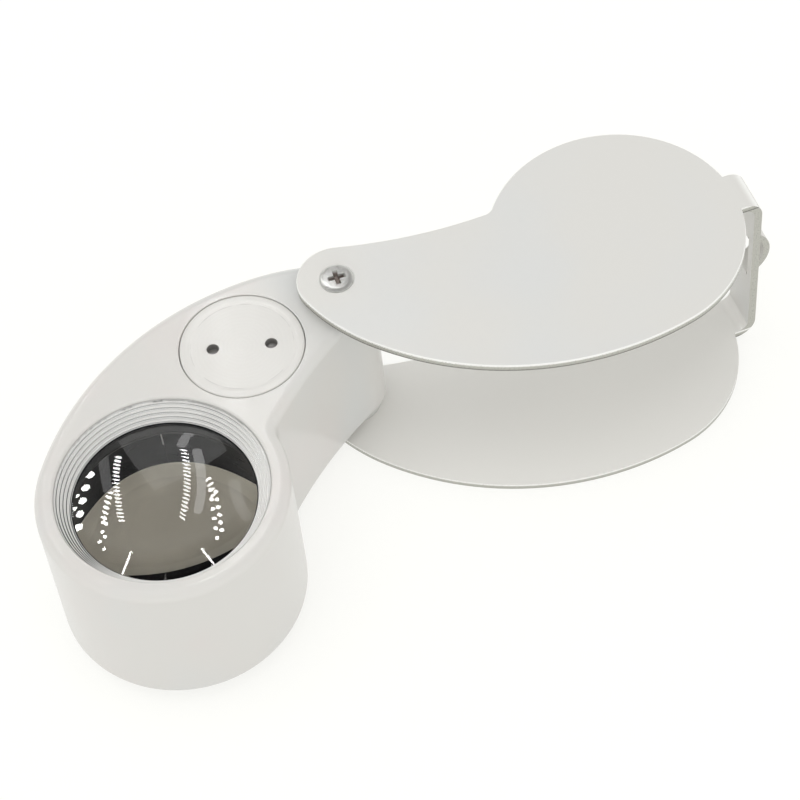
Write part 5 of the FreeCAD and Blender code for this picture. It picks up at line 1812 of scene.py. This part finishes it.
@dataclass
class BatteryColumn(SubAssembly):
    """The screwed lid with its seal, the contact disc, three cells, sleeve and spring."""

    lid_reach: float = 7.40
    field_reach: float = 6.5
    spigot_reach: float = 6.66
    hollow_reach: float = 5.9
    hollow_deep: float = 0.8
    spigot_high: float = 1.2
    hole_spacing: float = 6.9
    hole_reach: float = 0.72
    hole_deep: float = 1.0
    hole_deg: float = -184.3
    thread_wire: float = 0.13
    thread_rise: float = 0.7
    thread_turns: float = 1.6
    gauge: float = 0.2
    cell_reach: float = 5.78
    wire: float = 0.3
    spring_turns: float = 4.0
    spring_taper: float = 1.5
    steel: Finish = PlainMetal(shade(0.62, 0.61, 0.59), shade(0.45, 0.44, 0.42), 0.22, 2.0)
    rubber: Finish = Moulded(shade(0.012, 0.012, 0.012), 0.55, 0.1, 0.01, 0.1)
    sleeve: Finish = Moulded(shade(0.75, 0.75, 0.73), 0.4, 0.2, 0.01)

    def build(self) -> None:
        """Builds the column from the lid down."""
        self.stand_on("battery_cap")
        self._lid()
        self._seal()
        self._contact()
        for number in (1, 2, 3):
            self._cell(f"button_cell_{number}")
        dress(self.sleeve, "battery_sleeve")
        self._spring()

    def _lid(self) -> None:
        """The lid: a sunk field, two spanner holes, a hollow spigot and its thread."""
        low, high = height_of("battery_cap")
        shoulder, hollow = low + self.spigot_high, low + self.hollow_deep
        corners = [
            (0.0, high - 0.06),
            (self.field_reach - 0.3, high - 0.07, 0.2),
            (self.field_reach, high - 0.02, 0.15),
            (self.lid_reach, high, 0.22),
            (self.lid_reach, shoulder, 0.1),
            (self.spigot_reach, shoulder, 0.05),
            (self.spigot_reach, low, 0.15),
            (self.hollow_reach, low, 0.08),
            (self.hollow_reach, hollow, 0.1),
            (0.0, hollow),
        ]
        disc = Shape.turned(corners, segments=192, crease=30.0)
        flare = [
            (0.0, high + 0.3),
            (self.hole_reach + 0.32, high + 0.3),
            (self.hole_reach, high - 0.14),
            (self.hole_reach - 0.04, high - self.hole_deep),
            (0.0, high - self.hole_deep - 0.15),
        ]
        half = self.hole_spacing / 2
        cutters = [Shape.lathe(flare, (side, 0.0), 48, False) for side in (-half, half)]
        drilled = Shape.carve(disc, Shape.merged(cutters))
        reach = self.spigot_reach - 0.02
        thread = self.recipes.coil.run(
            self.steel,
            {
                "Start Radius": reach,
                "End Radius": reach,
                "Height": self.thread_rise,
                "Section Radius": self.thread_wire,
                "Place": (0.0, 0.0, low + 0.15),
            },
            {"Turns": self.thread_turns, "Section Corners": 6, "Points per Turn": 72},
        )
        whole = Shape.set_down(Shape.merged([drilled, thread]), self.centre, self.hole_deg)
        paint = LidPaint(self.centre, high, self.hole_deg, self.hole_spacing, self.hole_reach)
        add_piece("screwed_lid", whole, paint, "body_paint", "battery_cap", body="lid")

    def _seal(self) -> None:
        """The lid's ring seal."""
        low, high = height_of("cap_seal")
        section = (high - low) / 2 - 0.005
        middle = reach_of("cap_seal") - section
        profile = []
        for step in range(16):
            angle = math.tau * step / 16
            height = (low + high) / 2 + section * math.sin(angle)
            profile.append((middle + section * math.cos(angle), height))
        mesh = Shape.lathe(profile, self.centre)
        add_piece("ring_seal", mesh, self.rubber, "seal_rubber", "cap_seal", body="lid")

    def _contact(self) -> None:
        """A dished contact disc with a flat pressed middle."""
        low, high = height_of("cap_contact")
        floor, rim = low + self.gauge, high - 0.02
        corners = [(0.0, floor), (1.6, floor, 0.4), (2.6, rim, 0.5), (reach_of("cap_contact"), rim)]
        upper = Shape.eased(corners, False)
        lower = [(reach, height - self.gauge + 0.01) for reach, height in reversed(upper)]
        mesh = Shape.lathe([*upper, *lower], self.centre, 128, False)
        add_piece(
            "contact_disc", mesh, self.steel, "spring_steel", "cap_contact", body="lid_contact"
        )

    def _cell(self, node: str) -> None:
        """One button cell: a can with a rolled rim over a smaller cap."""
        low, high = height_of(node)
        rim = self.cell_reach
        corners = [
            (0.0, low + 0.01),
            (rim - 1.0, low + 0.01, 0.3),
            (rim - 0.8, low + 0.32, 0.1),
            (rim - 0.55, low + 0.34, 0.05),
            (rim - 0.5, low + 0.24, 0.1),
            (rim, low + 0.3, 0.25),
            (rim, high - 0.01, 0.3),
            (0.0, high - 0.01),
        ]
        mesh = Shape.turned(corners, self.centre, crease=28.0)
        add_piece(f"{node}_can", mesh, self.steel, "cell_steel", node)

    def _spring(self) -> None:
        """A tapered coil that presses the cells up."""
        low, high = height_of("battery_spring")
        reach = reach_of("battery_spring") - self.wire
        sizes = {
            "Start Radius": reach,
            "End Radius": reach - self.spring_taper,
            "Height": high - low - self.wire * 2,
            "Section Radius": self.wire,
            "Place": (*self.centre, low + self.wire),
        }
        plain = {"Turns": self.spring_turns, "Section Corners": 14, "Points per Turn": 64}
        mesh = self.recipes.coil.run(self.steel, sizes, plain)
        add_piece("tapered_spring", mesh, self.steel, "spring_steel", "battery_spring")


@dataclass
class NeckWorks(SubAssembly):
    """The circuit board with its resistor, and the slide switch."""

    resistor_reach: float = 0.76
    resistor_long: float = 3.36
    resistor_deg: float = -45.0
    lead_reach: float = 0.2
    knob_size: Point3 = (3.94, 0.86, 2.34)
    slide_deg: float = 34.57
    ridges: int = 5
    ridge_pitch: float = 0.66
    ridge: Point3 = (0.17, 0.14, 0.95)
    grip: Finish = Moulded(shade(0.022, 0.022, 0.023), 0.42, 0.12, 0.012)
    case: Finish = Moulded(shade(0.10, 0.10, 0.10), 0.45)
    black: Finish = WireSleeve(shade(0.02, 0.02, 0.02))

    def build(self) -> None:
        """Builds the resistor and the knob, and dresses the rest."""
        self.stand_on("circuit_board")
        dress(BoardLaminate(self.centre), "circuit_board")
        self._resistor()
        dress(self.case, "switch_case")
        dress(self.grip, "switch_slider")
        self._knob()
        dress(self.black, "switch_wires")

    def _resistor(self) -> None:
        """A dumb-bell body on its side, with a lead from each end."""
        place = middle_of("series_resistor")
        half, wide, lead = self.resistor_long / 2, self.resistor_reach, self.lead_reach
        upper = [
            (0.0, half),
            (lead, half, 0.05),
            (lead, half - 0.18, 0.08),
            (wide, half - 0.2, 0.3),
            (wide, half - 1.0, 0.2),
            (wide * 0.86, half - 1.15, 0.2),
        ]
        lower = [(reach, -height, *run) for reach, height, *run in reversed(upper)]
        mesh = Shape.turned([*upper, *lower], segments=64)
        turn = Matrix.Rotation(math.radians(self.resistor_deg), 4, "Z")
        lay = Matrix.Rotation(math.pi / 2, 4, "Y")
        mesh.transform(Matrix.Translation(in_metres(place)) @ turn @ lay)
        finish = BandedBody(place, self.resistor_deg)
        add_piece("banded_resistor", mesh, finish, "resistor_body", "series_resistor")

    def _knob(self) -> None:
        """The switch knob: a rounded block with a row of grip ridges."""
        middle = middle_of("switch_knob")
        turn = math.radians(self.slide_deg)
        block = Shape.box(self.knob_size, 0.22, middle, turn)
        along = Vector((math.cos(turn), math.sin(turn), 0.0)) * self.ridge_pitch
        out = Vector((-math.sin(turn), math.cos(turn), 0.0))
        face = Vector(middle) + out * (self.knob_size[1] / 2 - 0.06)
        first = face - along * ((self.ridges - 1) / 2)
        sizes = {"Start": first, "Step": along, "Bead": self.ridge}
        plain = {"Count": self.ridges, "Turn": (0.0, 0.0, turn)}
        whole = Shape.merged([block, self.recipes.row.run(self.grip, sizes, plain)])
        add_piece("ridged_knob", whole, self.grip, "black_plastic", "switch_knob", body="switch")


def main() -> None:
    """Builds the studio and each sub-assembly in order."""
    logging.basicConfig(level=logging.INFO, format="%(message)s")
    recipes = Recipes()
    Studio(recipes).build()
    Cover(recipes).build()
    PivotSet(recipes).build()
    LoupeHousing(recipes).build()
    LensCell(recipes).build()
    LampRing(recipes).build()
    BatteryColumn(recipes).build()
    NeckWorks(recipes).build()


if __name__ == "__main__":
    main()
